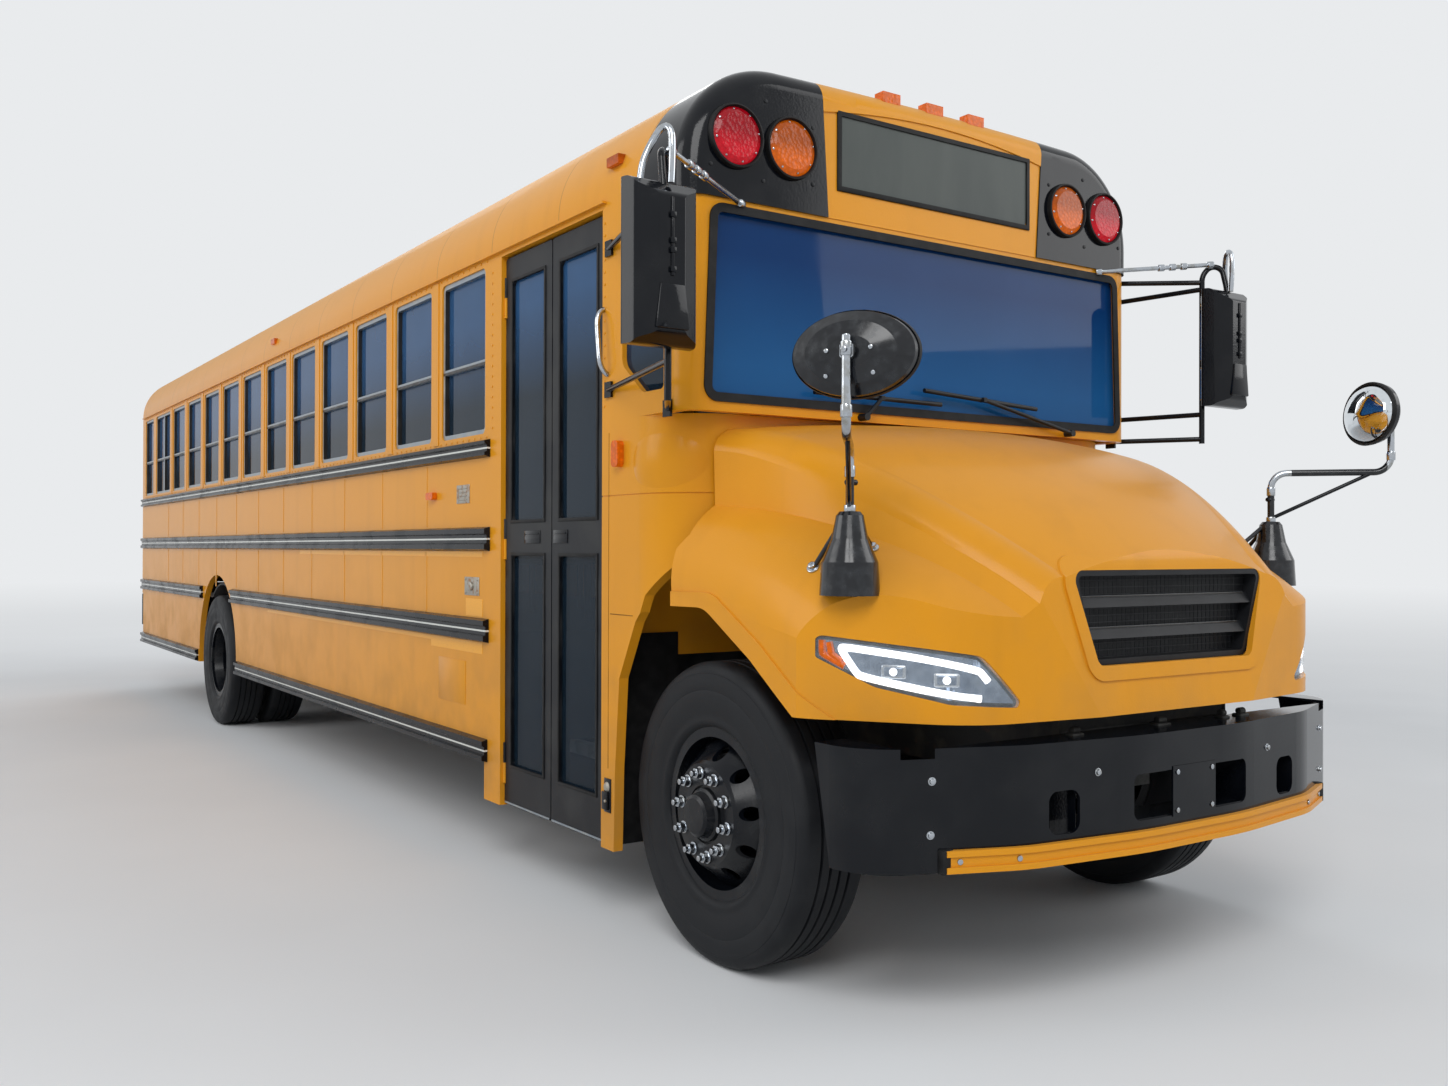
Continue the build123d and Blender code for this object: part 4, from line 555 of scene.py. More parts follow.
def aluminised_pipe():
    """Aluminised steel pipe, heat-stained."""
    paint, tree, shader, place = blank("aluminised_exhaust")
    stain = patches(tree, place, 0.25, 5, 0.35, 0.7, 1)
    two_tone(tree, shader, stain, "8A857C", "6A4A32")
    tree.links.new(ranged(tree, stain, 0, 1, 0.45, 0.75), shader.inputs["Roughness"])
    shader.inputs["Metallic"].default_value = 0.8
    return paint


def rail_with_painted_highlight():
    """Roll-formed rail in black enamel with a painted highlight along its groove."""
    paint, tree, shader, place = blank("rub_rail_enamel")
    black = bpy.context.scene.bus_colours.black
    height = split(tree, place)["Z"]
    # Painted highlight: a pale band at the middle height of each rail
    line = 0
    for low, high in rub_rails:
        line = math_node(tree, "ADD", line, math_node(tree, "COMPARE", height, (low + high) / 2, 0.004))
    film = patches(tree, place, 0.18, 5, 0.45, 0.75, 0.2)
    dull = blended(tree, film, rgba(black), rgba(linear("3A3F44")))
    pale = blended(tree, film, rgba(linear("D8DAD4")), rgba(linear("9A9A90")))
    tree.links.new(blended(tree, line, dull, pale), shader.inputs["Base Color"])
    tree.links.new(ranged(tree, film, 0, 0.2, 0.2, 0.4), shader.inputs["Roughness"])
    shader.inputs["Specular IOR Level"].default_value = 0.2
    return paint


def plated_arms():
    """Black sleeves on chromium-plated mirror tubes."""
    paint, tree, shader, place = blank("sleeved_chrome_tube")
    black = bpy.context.scene.bus_colours.black
    parts = split(tree, place)
    across = math_node(tree, "ABSOLUTE", parts["X"])
    level = node(tree, "ShaderNodeCombineXYZ", {0: across, 1: parts["Y"], 2: 0.0}).outputs[0]
    bare = 0
    # Bare lengths of tube: the corner over the foot and the upright to the head
    for x, y, reach, above in ((*crossview_foot, 0.075, 1.690), (*crossview_tube(), 0.019, 1.650)):
        away = node(tree, "ShaderNodeVectorMath", {0: level, 1: (x, y, 0)}, operation="DISTANCE")
        near = math_node(tree, "LESS_THAN", away.outputs["Value"], reach)
        high = math_node(tree, "GREATER_THAN", parts["Z"], above)
        bare = math_node(tree, "MAXIMUM", bare, math_node(tree, "MULTIPLY", near, high))
    wear = patches(tree, place, 0.03, 4, 0.45, 0.75, 1)
    sleeve = blended(tree, wear, rgba(black), rgba(linear("26292D")))
    plate = blended(tree, wear, rgba(linear("B4B9BF")), rgba(linear("96958F")))
    tree.links.new(blended(tree, bare, sleeve, plate), shader.inputs["Base Color"])
    tree.links.new(bare, shader.inputs["Metallic"])
    tree.links.new(ranged(tree, wear, 0, 1, 0.14, 0.3), shader.inputs["Roughness"])
    return paint


def tinted_glass():
    """Laminated and tempered safety glass with a grey tint."""
    # Gives dark panes at the sides and a bluer windshield; these blues are painted sky reflection
    paint, tree, shader, place = blank("tinted_safety_glass")
    tint = bpy.context.scene.bus_colours.glass
    parts = split(tree, place)
    at_front = ranged(tree, parts["Y"], aft(0.10), aft(0.14), 1, 0)
    # Painted sky reflection: the side panes turn paler blue towards the top, and the windshield is blue,
    # darker towards the top
    rise = ranged(tree, parts["Z"], 2.1, 2.5, 0, 1)
    side = blended(tree, rise, rgba(tint), rgba(linear("31567F")))
    front = blended(tree, rise, rgba(linear("1F5A92")), rgba(linear("0E386C")))
    film = patches(tree, place, 0.3, 4, 0.4, 0.7, 0.05)
    tree.links.new(blended(tree, at_front, side, front), shader.inputs["Base Color"])
    # The lower door panes are the clearest
    lower = ranged(tree, parts["Z"], 1.40, 1.55, 0.55, 0.84)
    alpha = ranged(tree, at_front, 0, 1, lower, 0.86)
    tree.links.new(math_node(tree, "ADD", alpha, film), shader.inputs["Alpha"])
    tree.links.new(ranged(tree, film, 0, 0.05, 0.02, 0.06), shader.inputs["Roughness"])
    shader.inputs["IOR"].default_value = 1.52
    shader.inputs["Specular IOR Level"].default_value = 0.15
    return paint


def anodised_sash():
    """Anodised aluminium extrusion, weathered, with painted shade on the faces that look along the bus and a
    dark band under the middle rail.
    """
    paint, tree, shader, place = blank("anodised_aluminium_sash")
    chalk = patches(tree, place, 0.06, 5, 0.4, 0.7, 0.5)
    bare = blended(tree, chalk, rgba(linear("8E979F")), rgba(linear("B7B3A6")))
    # Painted shade: faces that look along the bus, the reveals, are painted near black
    painted_reveal_shade = math_node(tree, "GREATER_THAN", math_node(tree, "ABSOLUTE", facing(tree, "Y")), 0.6)
    under_rail = math_node(tree, "COMPARE", split(tree, place)["Z"], 2.2945, 0.0065)
    dark = math_node(tree, "MAXIMUM", painted_reveal_shade, under_rail)
    tree.links.new(blended(tree, dark, bare, rgba(linear("1E1B18"))), shader.inputs["Base Color"])
    tree.links.new(ranged(tree, chalk, 0, 0.5, 0.3, 0.55), shader.inputs["Roughness"])
    metal = math_node(tree, "MULTIPLY", math_node(tree, "SUBTRACT", 1.0, dark), 0.6)
    tree.links.new(metal, shader.inputs["Metallic"])
    return paint


def tread_rubber():
    """Moulded carbon-black tyre rubber with road dust."""
    paint, tree, shader, place = blank("vulcanised_tyre_rubber")
    dust = patches(tree, place, 0.1, 6, 0.45, 0.75, 0.3)
    two_tone(tree, shader, dust, "101216", "3A3B3C")
    tree.links.new(bump(tree, noise(tree, place, 0.004, 3), 0.0006, 0.6), shader.inputs["Normal"])
    tree.links.new(ranged(tree, dust, 0, 0.3, 0.55, 0.8), shader.inputs["Roughness"])
    shader.inputs["Specular IOR Level"].default_value = 0.25
    return paint


def soft_rubber():
    """Extruded rubber seal and flap."""
    paint, tree, shader, place = blank("extruded_rubber")
    bloom = patches(tree, place, 0.05, 4, 0.4, 0.8, 0.25)
    two_tone(tree, shader, bloom, "0D0D0E", "3A3A3A")
    tree.links.new(bump(tree, noise(tree, place, 0.003, 2), 0.0004, 0.5), shader.inputs["Normal"])
    shader.inputs["Roughness"].default_value = 0.6
    shader.inputs["Specular IOR Level"].default_value = 0.25
    return paint


def chrome_plate():
    """Chromium plate on steel."""
    paint, tree, shader, place = blank("chromium_plate")
    pits = patches(tree, place, 0.03, 3, 0.5, 0.75, 1)
    two_tone(tree, shader, pits, "B4B9BF", "96958F")
    tree.links.new(ranged(tree, pits, 0, 1, 0.12, 0.24), shader.inputs["Roughness"])
    shader.inputs["Metallic"].default_value = 1.0
    return paint


def moulded_plastic():
    """Injection-moulded polypropylene with a fine grain."""
    paint, tree, shader, place = blank("moulded_black_polypropylene")
    fade = patches(tree, place, 0.12, 4, 0.4, 0.8, 0.4)
    two_tone(tree, shader, fade, "121316", "2E3033")
    # Grain of about 1 mm, drawn at 3 mm so that it shows
    tree.links.new(bump(tree, noise(tree, place, 0.003, 3), 0.0005, 0.6), shader.inputs["Normal"])
    shader.inputs["Roughness"].default_value = 0.5
    shader.inputs["Specular IOR Level"].default_value = 0.25
    return paint


def lens(name, colour, glow):
    """Moulded polycarbonate lens with small prisms on its inside."""
    paint, tree, shader, place = blank(name)
    # Prisms of 6 mm, drawn at 14 mm so that they show
    prisms = cells(tree, place, 0.014)
    share = ranged(tree, prisms, 0.1, 0.7, 0, 0.6)
    deep = shifted(colour, 0.6, (0, 0, 0))
    # Painted light: a warning lamp's upper half is painted darker and glows a fifth as much as its lower
    # half, standing in for how light falls on the reflector behind it; small lamps on the roof stay plain
    height = split(tree, place)["Z"]
    painted_dark_upper = ranged(tree, height, lamp_height - 0.04, lamp_height + 0.02, 0, 1)
    painted_dark_upper = math_node(tree, "MULTIPLY", painted_dark_upper, ranged(tree, height, 3.08, 3.10, 1, 0))
    low = math_node(tree, "SUBTRACT", 1.0, painted_dark_upper)
    base = blended(tree, low, shifted(colour, 0.35, (0, 0, 0)), rgba(colour))
    tree.links.new(blended(tree, share, base, deep), shader.inputs["Base Color"])
    tree.links.new(bump(tree, prisms, 0.002, 0.6), shader.inputs["Normal"])
    tree.links.new(ranged(tree, low, 0, 1, glow * 0.2, glow), shader.inputs["Emission Strength"])
    shader.inputs["Roughness"].default_value = 0.16
    shader.inputs["Specular IOR Level"].default_value = 0.25
    shader.inputs["Emission Color"].default_value = rgba(colour)
    return paint


def clear_cover():
    """Clear hard-coated polycarbonate."""
    paint, tree, shader, place = blank("clear_polycarbonate")
    haze = ranged(tree, noise(tree, place, 0.05, 4), 0.4, 0.8, 0.16, 0.3)
    tree.links.new(haze, shader.inputs["Alpha"])
    shader.inputs["Base Color"].default_value = rgba(linear("C5CDD2"))
    shader.inputs["Roughness"].default_value = 0.04
    return paint


def bright_reflector():
    """Vacuum-metallised reflector."""
    paint, tree, shader, place = blank("metallised_reflector")
    shade = patches(tree, place, 0.03, 2, 0.3, 0.7, 1)
    two_tone(tree, shader, shade, "5E6C80", "8C98A8")
    shader.inputs["Metallic"].default_value = 0.85
    shader.inputs["Roughness"].default_value = 0.22
    return paint


def light_guide():
    """Frosted acrylic light guide, lit."""
    paint, tree, shader, place = blank("frosted_light_guide")
    frosting = patches(tree, place, 0.012, 2, 0.3, 0.7, 1)
    two_tone(tree, shader, frosting, "FFFFFF", "E6F0FF")
    shader.inputs["Emission Color"].default_value = (1, 1, 1, 1)
    shader.inputs["Emission Strength"].default_value = 1.6
    shader.inputs["Roughness"].default_value = 0.4
    return paint


def sign_film():
    """Grey vinyl film over an old sign."""
    paint, tree, shader, place = blank("grey_vinyl_film")
    marks = ranged(tree, noise(tree, stretched(tree, place, (1, 1, 0.3)), 0.2, 5), 0.4, 0.75, 0, 0.6)
    two_tone(tree, shader, marks, "434947", "555A56")
    shader.inputs["Roughness"].default_value = 0.35
    shader.inputs["Specular IOR Level"].default_value = 0.2
    return paint


def red_board():
    """Reflective red sheeting with a white rim."""
    paint, tree, shader, place = blank("red_reflective_sheeting")
    # Middle of the folded board
    centre = (1.235, aft(3.265), 1.645)
    moved = node(tree, "ShaderNodeMapping", {"Vector": place, "Location": [-value for value in centre]})
    parts = split(tree, moved.outputs["Vector"])
    # How far out a point lies towards the board's eight sides
    reach = 0.0
    for angle in (0, 45, 90, 135):
        turn = math.radians(angle)
        y_part = math_node(tree, "MULTIPLY", parts["Y"], math.cos(turn))
        z_part = math_node(tree, "MULTIPLY", parts["Z"], math.sin(turn))
        side = math_node(tree, "ABSOLUTE", math_node(tree, "ADD", y_part, z_part))
        reach = math_node(tree, "MAXIMUM", reach, side)
    rim = ranged(tree, reach, 0.205, 0.207, 0, 1)
    wear = patches(tree, place, 0.04, 4, 0.4, 0.8, 0.2)
    face = blended(tree, wear, rgba(linear("B5121B")), rgba(linear("7A1A1A")))
    tree.links.new(blended(tree, rim, face, rgba(linear("E4E4E0"))), shader.inputs["Base Color"])
    shader.inputs["Roughness"].default_value = 0.3
    return paint


def ribbed_floor():
    """Black ribbed rubber floor covering."""
    paint, tree, shader, place = blank("ribbed_rubber_floor")
    ribs = node(tree, "ShaderNodeTexWave", {"Vector": place, "Scale": 1 / 0.03}, bands_direction="X")
    scuff = patches(tree, place, 0.15, 5, 0.4, 0.75, 0.6)
    two_tone(tree, shader, scuff, "1B1B1C", "464442")
    tree.links.new(bump(tree, ribs.outputs["Fac"], 0.002, 0.8), shader.inputs["Normal"])
    shader.inputs["Roughness"].default_value = 0.65
    return paint


def coated_vinyl():
    """Knit-backed vinyl seat cover with a leather grain."""
    paint, tree, shader, place = blank("coated_seat_vinyl")
    seat = bpy.context.scene.bus_colours.seat
    worn = patches(tree, place, 0.2, 4, 0.4, 0.75, 0.4)
    grain = cells(tree, place, 0.006)
    cover = blended(tree, worn, rgba(seat), shifted(seat, 0.25, (0.5, 0.5, 0.5)))
    tree.links.new(cover, shader.inputs["Base Color"])
    tree.links.new(bump(tree, grain, 0.0006, 0.5), shader.inputs["Normal"])
    shader.inputs["Roughness"].default_value = 0.45
    return paint


def retroreflective_tape():
    """Yellow retroreflective sheeting, newer than the paint around it."""
    paint, tree, shader, place = blank("yellow_retroreflective_tape")
    # Cells of 3 mm, drawn at 10 mm so that they show
    edge = ranged(tree, cells(tree, place, 0.010, "DISTANCE_TO_EDGE"), 0.02, 0.08, 0.35, 0)
    two_tone(tree, shader, edge, "F0A60A", "D08A08")
    shader.inputs["Roughness"].default_value = 0.3
    return paint


def weathered_plate():
    """Bare aluminium plate with rust from its screws."""
    paint, tree, shader, place = blank("weathered_metal_plate")
    rust = patches(tree, place, 0.025, 5, 0.5, 0.68, 0.85)
    two_tone(tree, shader, rust, "A8A49A", "8A5A2C")
    tree.links.new(ranged(tree, rust, 0, 0.85, 0.4, 0.8), shader.inputs["Roughness"])
    tree.links.new(ranged(tree, rust, 0, 0.85, 0.7, 0.0), shader.inputs["Metallic"])
    return paint


def white_nosing():
    """White anti-slip edge of a step, scuffed."""
    paint, tree, shader, place = blank("white_step_nosing")
    scuff = patches(tree, place, 0.06, 5, 0.45, 0.7, 0.6)
    two_tone(tree, shader, scuff, "D6D8D4", "8C8C86")
    shader.inputs["Roughness"].default_value = 0.6
    return paint


def mirror_silver():
    """Silvered convex mirror glass."""
    paint, tree, shader, place = blank("silvered_mirror_glass")
    specks = patches(tree, place, 0.02, 4, 0.5, 0.8, 0.4)
    two_tone(tree, shader, specks, "DDE2E6", "A9AFB4")
    shader.inputs["Metallic"].default_value = 1.0
    shader.inputs["Roughness"].default_value = 0.03
    return paint


def make_finishes():
    """Every material of the bus, by the name the operators use."""
    colours = bpy.context.scene.bus_colours
    return {
        "yellow": yellow_enamel("sprayed_yellow_enamel", 0.35, 0),
        # The wheel arches' heavy dark film is partly road dirt and partly painted shade
        "arch": yellow_enamel("road_dirt_and_painted_shade_on_enamel", 0.35, 0.75),
        "fresh": yellow_enamel("fresh_yellow_enamel", 0.02, 0),
        "rail": rail_with_painted_highlight(),
        "arms": plated_arms(),
        "tape": retroreflective_tape(),
        "plate": weathered_plate(),
        "nosing": white_nosing(),
        "gloss_black": black_enamel("gloss_black_enamel", 0.1, 0.06),
        "satin_black": black_enamel("satin_black_enamel", 0.4, 0.3),
        "wheel_black": black_enamel("baked_wheel_enamel", 0.22, 0.25),
        "chassis": chassis_paint(),
        "iron": cast_metal(),
        "pipe": aluminised_pipe(),
        "glass": tinted_glass(),
        "sash": anodised_sash(),
        "tyre": tread_rubber(),
        "rubber": soft_rubber(),
        "chrome": chrome_plate(),
        "plastic": moulded_plastic(),
        "red": lens("red_polycarbonate_lens", colours.red, 0.35),
        "amber": lens("amber_polycarbonate_lens", colours.amber, 0.3),
        "clear": clear_cover(),
        "reflector": bright_reflector(),
        "guide": light_guide(),
        "sign": sign_film(),
        "board": red_board(),
        "floor": ribbed_floor(),
        "vinyl": coated_vinyl(),
        "mirror": mirror_silver(),
    }


def finish(name):
    """One of the bus's materials, made on first use."""
    if not finishes:
        finishes.update(make_finishes())
    return finishes[name]


finishes = {}

# Foot of the left crossview mirror's tubes on the fender
crossview_foot = (1.085, aft(-0.700))
# Head of the left crossview mirror, its turn about Z, and how far its tube stands off it
crossview_head = (1.300, aft(-0.980), 1.970)
crossview_turn = math.radians(57)
crossview_stand = 0.084


def crossview_tube():
    """X and Y of the upright tube behind the left crossview mirror."""
    return (crossview_head[0] + crossview_stand * math.sin(crossview_turn),
            crossview_head[1] - crossview_stand * math.cos(crossview_turn))


# Which CAD nodes take which finish
node_finishes = {
    "yellow": ("hood", "cowl", "front_cap", "roof", "side_wall_left", "side_wall_right", "rear_wall",
               "emergency_door"),
    "fresh": ("bumper_guard",),
    "arch": ("fender_liners",),
    "rail": ("rub_rails",),
    "arms": ("crossview_mirrors",),
    "gloss_black": ("lamp_panels", "front_bumper", "rear_bumper", "side_mirrors"),
    "satin_black": ("door_front", "door_rear", "wipers", "stop_arm_bracket", "seat_frames",
                    "stepwell", "fuel_tank"),
    "wheel_black": ("wheel_front_left", "wheel_front_right", "wheel_rear_left", "wheel_rear_right"),
    "chassis": ("frame", "front_axle", "rear_axle", "leaf_springs", "knuckle_left", "knuckle_right",
                "tie_rod"),
    "iron": ("engine", "driveline"),
    "pipe": ("exhaust",),
    "glass": ("body_glass", "door_front_glass", "door_rear_glass", "emergency_door_glass"),
    "sash": ("window_frames",),
    "tyre": ("tyre_front_left", "tyre_front_right", "tyres_rear_left", "tyres_rear_right"),
    "rubber": ("gaskets", "mud_flaps"),
    "plastic": ("grille", "dashboard", "steering_wheel"),
    "red": ("red_lamps",),
    "amber": ("amber_lamps",),
    "sign": ("front_sign",),
    "board": ("stop_arm",),
    "floor": ("floor", "wheel_housings"),
    "vinyl": ("seats",),
}


class PaintFrame(bpy.types.Operator):
    """Gives every CAD node its material"""
    bl_idname = "school_bus.paint_frame"
    bl_label = "Paint the frame"

    def execute(self, context):
        for name, nodes in node_finishes.items():
            for node_name in nodes:
                mesh = frame["nodes"][node_name].data
                mesh.materials.clear()
                mesh.materials.append(finish(name))
        return {"FINISHED"}


# Tyres and wheels

tyre_radius = wheel_height
tread_ribs = 5
# Sidewall of a tyre, from the bead to the shoulder: distance from the middle, radius
sidewall = [
    (0.100, 0.2903), (0.116, 0.296), (0.128, 0.308), (0.1315, 0.322), (0.129, 0.330), (0.1325, 0.345),
    (0.1370, 0.385), (0.1390, 0.420), (0.1378, 0.424), (0.1392, 0.428), (0.1385, 0.455), (0.1355, 0.482),
    (0.1335, 0.484), (0.1330, 0.492), (0.1285, 0.504), (0.121, 0.514), (0.110, 0.520), (0.102, 0.5235),
]


def tyre_profile(depth):
    """Closed cross-section of a tyre from its outer bead over the ribs to its inner bead."""
    tread_half = 0.100
    crown = 0.0015
    groove = 0.0085
    pitch = 2 * tread_half / tread_ribs
    points = list(sidewall)
    for rib in range(tread_ribs):
        left = tread_half - rib * pitch
        right = left - pitch
        crown_left = tyre_radius - crown * abs(left / tread_half)
        crown_right = tyre_radius - crown * abs(right / tread_half)
        if rib:
            points.append((left - groove * 0.35, tyre_radius - depth))
            points.append((left - groove * 0.65, crown_left))
        if rib < tread_ribs - 1:
            points.append((right + groove * 0.65, crown_right))
            points.append((right + groove * 0.35, tyre_radius - depth))
    points += [(-w, r) for w, r in reversed(sidewall)]
    return points + points[:1]


class FitTyres(bpy.types.Operator):
    """Turns the ribbed tyres and fits them over the rims"""
    bl_idname = "school_bus.fit_tyres"
    bl_label = "Fit tyres"

    def execute(self, context):
        profile = tyre_profile(context.scene.bus_sizes.groove_depth)
        single, twins = (0.985,), (0.735, 1.055)
        # Name, body, CAD node it replaces, side, distance of each tyre from the middle, Y of the axle
        rows = [
            ("front_tyre_left_ribbed", "front_wheel_left", "tyre_front_left", 1, single, front_axle_y),
            ("front_tyre_right_ribbed", "front_wheel_right", "tyre_front_right", -1, single, front_axle_y),
            ("rear_tyres_left_ribbed", "rear_wheels_left", "tyres_rear_left", 1, twins, rear_axle_y),
            ("rear_tyres_right_ribbed", "rear_wheels_right", "tyres_rear_right", -1, twins, rear_axle_y),
        ]
        for name, body, cad_node, side, places, y in rows:
            tyres = [spun(profile, (side * x, y, wheel_height), "X", 112) for x in places]
            piece = finish_piece(joined(tyres), name, body, "tyre", 32)
            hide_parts(cad_node)
        return {"FINISHED"}


class FitWheelNuts(bpy.types.Operator):
    """Puts chromed nuts with their flanges and studs on the wheel discs"""
    bl_idname = "school_bus.fit_wheel_nuts"
    bl_label = "Fit wheel nuts"

    def execute(self, context):
        radius = context.scene.bus_sizes.nut_width / math.sqrt(3)
        # Ten nuts on a bolt circle
        nuts = 10
        circle = 0.1429
        # Name, body, side, Y, X where the nuts sit, nut length
        rows = [
            ("front_nuts_left", "front_wheel_left", 1, front_axle_y, 1.145, 0.026),
            ("front_nuts_right", "front_wheel_right", -1, front_axle_y, 1.145, 0.026),
            ("rear_nuts_left", "rear_wheels_left", 1, rear_axle_y, 0.907, 0.034),
            ("rear_nuts_right", "rear_wheels_right", -1, rear_axle_y, 0.907, 0.034),
        ]
        for name, body, side, y, x, length in rows:
            seat, tip = (side * x, 0, 0), (side * (x + length), 0, 0)
            nut = bar(seat, tip, radius, 6, 0.002)
            flange = bar(seat, (side * (x + 0.006), 0, 0), radius + 0.003, 20, 0.001)
            thread = bar(tip, (side * (x + length + 0.016), 0, 0), 0.0105, 14, 0.002)
            one = joined([nut, flange, thread])
            places = []
            for number in range(nuts):
                angle = math.radians(360 / nuts * (number + 0.25))
                places.append((0, y + circle * math.cos(angle), wheel_height + circle * math.sin(angle)))
            piece = copy_to(one, places)
            finish_piece(piece, name, body, "chrome", 30)
        return {"FINISHED"}


# Seats

def swollen(low, high, lean=0.0, cap=0.014):
    """A cushion: a box swelled by a short cloth simulation, kept within the cap of where it began."""
    pad = block(low, high, 0.015, 2)
    remesh = pad.modifiers.new("grid", "REMESH")
    remesh.mode = "VOXEL"
    remesh.voxel_size = 0.024
    take(pad)
    bpy.ops.object.modifier_apply(modifier="grid")
    start = [vertex.co.copy() for vertex in pad.data.vertices]
    cloth = pad.modifiers.new("stuffing", "CLOTH")
    cloth.settings.use_pressure = True
    cloth.settings.uniform_pressure_force = 4
    cloth.settings.effector_weights.gravity = 0
    for number in range(1, 16):
        bpy.context.scene.frame_set(number)
    take(pad)
    bpy.ops.object.modifier_apply(modifier="stuffing")
    bpy.context.scene.frame_set(1)
    for vertex, first in zip(pad.data.vertices, start):
        moved = vertex.co - first
        if moved.length > cap:
            vertex.co = first + moved.normalized() * cap
        vertex.co.y += lean * (vertex.co.z - low[2])
    return pad


class MakeSeats(bpy.types.Operator):
    """Upholsters the benches and the driver's seat"""
    bl_idname = "school_bus.make_seats"
    bl_label = "Upholster seats"

    def execute(self, context):
        # Rows of benches, front of the first behind the front axle, distance from row to row
        rows, first, pitch = 12, 1.8, 0.7
        # Ends of a bench from the middle of the bus
        inner, outer = 0.190, 1.115
        y = aft(first)
        cushion = swollen((inner, y + 0.010, 1.398), (outer, y + 0.385, 1.500))
        back = swollen((inner, y + 0.412, 1.402), (outer, y + 0.470, 1.940), 0.17, 0.010)
        for part, pad in (("cushion", cushion), ("back", back)):
            for number in range(rows):
                for side, word in ((1, "left"), (-1, "right")):
                    twin = pad.copy()
                    twin.data = pad.data.copy()
                    bpy.context.collection.objects.link(twin)
                    twin.location = (0 if side > 0 else -(inner + outer), pitch * number, 0)
                    name = f"bench_{part}_{word}_{number + 1:02d}"
                    self.dress(twin, name, 0.8)
            bpy.data.objects.remove(pad)
        # Middle of the driver's seat
        x, y = 0.62, aft(1.16)
        cushion = swollen((x - 0.24, y - 0.22, 1.470), (x + 0.24, y + 0.21, 1.575))
        back = swollen((x - 0.23, y + 0.245, 1.480), (x + 0.23, y + 0.315, 2.290), 0.11)
        self.dress(cushion, "driver_cushion", 0.85)
        self.dress(back, "driver_back", 0.85)
        return {"FINISHED"}

    def dress(self, pad, name, fill):
        finish_piece(pad, name, "chassis", "vinyl", 60)
        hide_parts("seats")


# Lamps

class FitWarningLamps(bpy.types.Operator):
    """Adds the warning lamps' rims and lens screws, the sign's frame and the lamp panels' screws"""
    bl_idname = "school_bus.fit_warning_lamps"
    bl_label = "Fit warning lamp rims"

    def execute(self, context):
        # Half section of a rim: along the lamp's axis, out from the lens's edge
        rim = (
            (0.030, 0.001), (0.006, 0.001), (0.000, 0.005), (0.002, 0.011), (0.012, 0.013), (0.030, 0.013),
        )
        profile = [(along, lamp_radius + out) for along, out in rim]
        screw_circle = lamp_radius - 0.010
        rims = []
        screws = []
        for x, name in ((amber_x, "amber_lamps"), (red_x, "red_lamps")):
            face = from_front(name, x, lamp_height)[0].y
            for side in (1, -1):
                rims.append(spun(profile, (side * x, face + 0.004, lamp_height), "Y", 64))
                for number in range(8):
                    angle = math.radians(45 * number + 12)
                    screw_x = side * x + screw_circle * math.cos(angle)
                    screw_z = lamp_height + screw_circle * math.sin(angle)
                    screws.append(stud(from_front(name, screw_x, screw_z), 0.003, 0.003, 0.0042, 10, 0.001))
        finish_piece(joined(rims), "warning_lamp_rims", "chassis", "rubber", 40)
        finish_piece(joined(screws), "lens_screws", "chassis", "chrome", 30)
        heads = []
        for x, z in ((0.857, 3.056), (0.640, 2.790), (1.094, 2.790), (0.867, 2.765), (0.640, 3.000)):
            for side in (1, -1):
                heads.append(stud(from_front("lamp_panels", side * x, z), 0.004, 0.003, 0.008, 12, 0.0015))
        finish_piece(joined(heads), "lamp_panel_screws", "chassis", "satin_black", 30)
        half, bottom, top = 0.522, 2.787, 3.090
        face = from_front("front_cap", 0.530, 2.940)[0].y
        border = frame_round((-half, face - 0.008, bottom), (half, face + 0.002, top), 0.019, 0.004)
        finish_piece(border, "sign_frame", "chassis", "rubber", 35)
        return {"FINISHED"}


# Lit C of the left headlamp: in along the top to the outer end, down, and back in along the bottom
light_bar = (
    (0.806, 1.050), (0.826, 1.076), (0.834, 1.082), (0.880, 1.095), (0.930, 1.108), (0.985, 1.121),
    (1.045, 1.133), (1.100, 1.144), (1.106, 1.140), (1.092, 1.104), (1.076, 1.066), (1.070, 1.058),
    (1.020, 1.041), (0.965, 1.025), (0.920, 1.014), (0.880, 1.006), (0.826, 1.000),
)
# The two amber strips in its outer corner, and the middles of its two projectors
corner_strips = (
    ((1.139, 1.164), (1.139, 1.142), (1.138, 1.122), (1.118, 1.104), (1.098, 1.086)),
    ((1.126, 1.158), (1.124, 1.140), (1.122, 1.122), (1.112, 1.108), (1.104, 1.098)),
)
projectors = ((0.912, 1.054), (1.010, 1.074))
# Half section of a projector's lens
projector_lens = ((-0.023, 0.0005), (-0.021, 0.008), (-0.017, 0.0115), (-0.010, 0.0125))


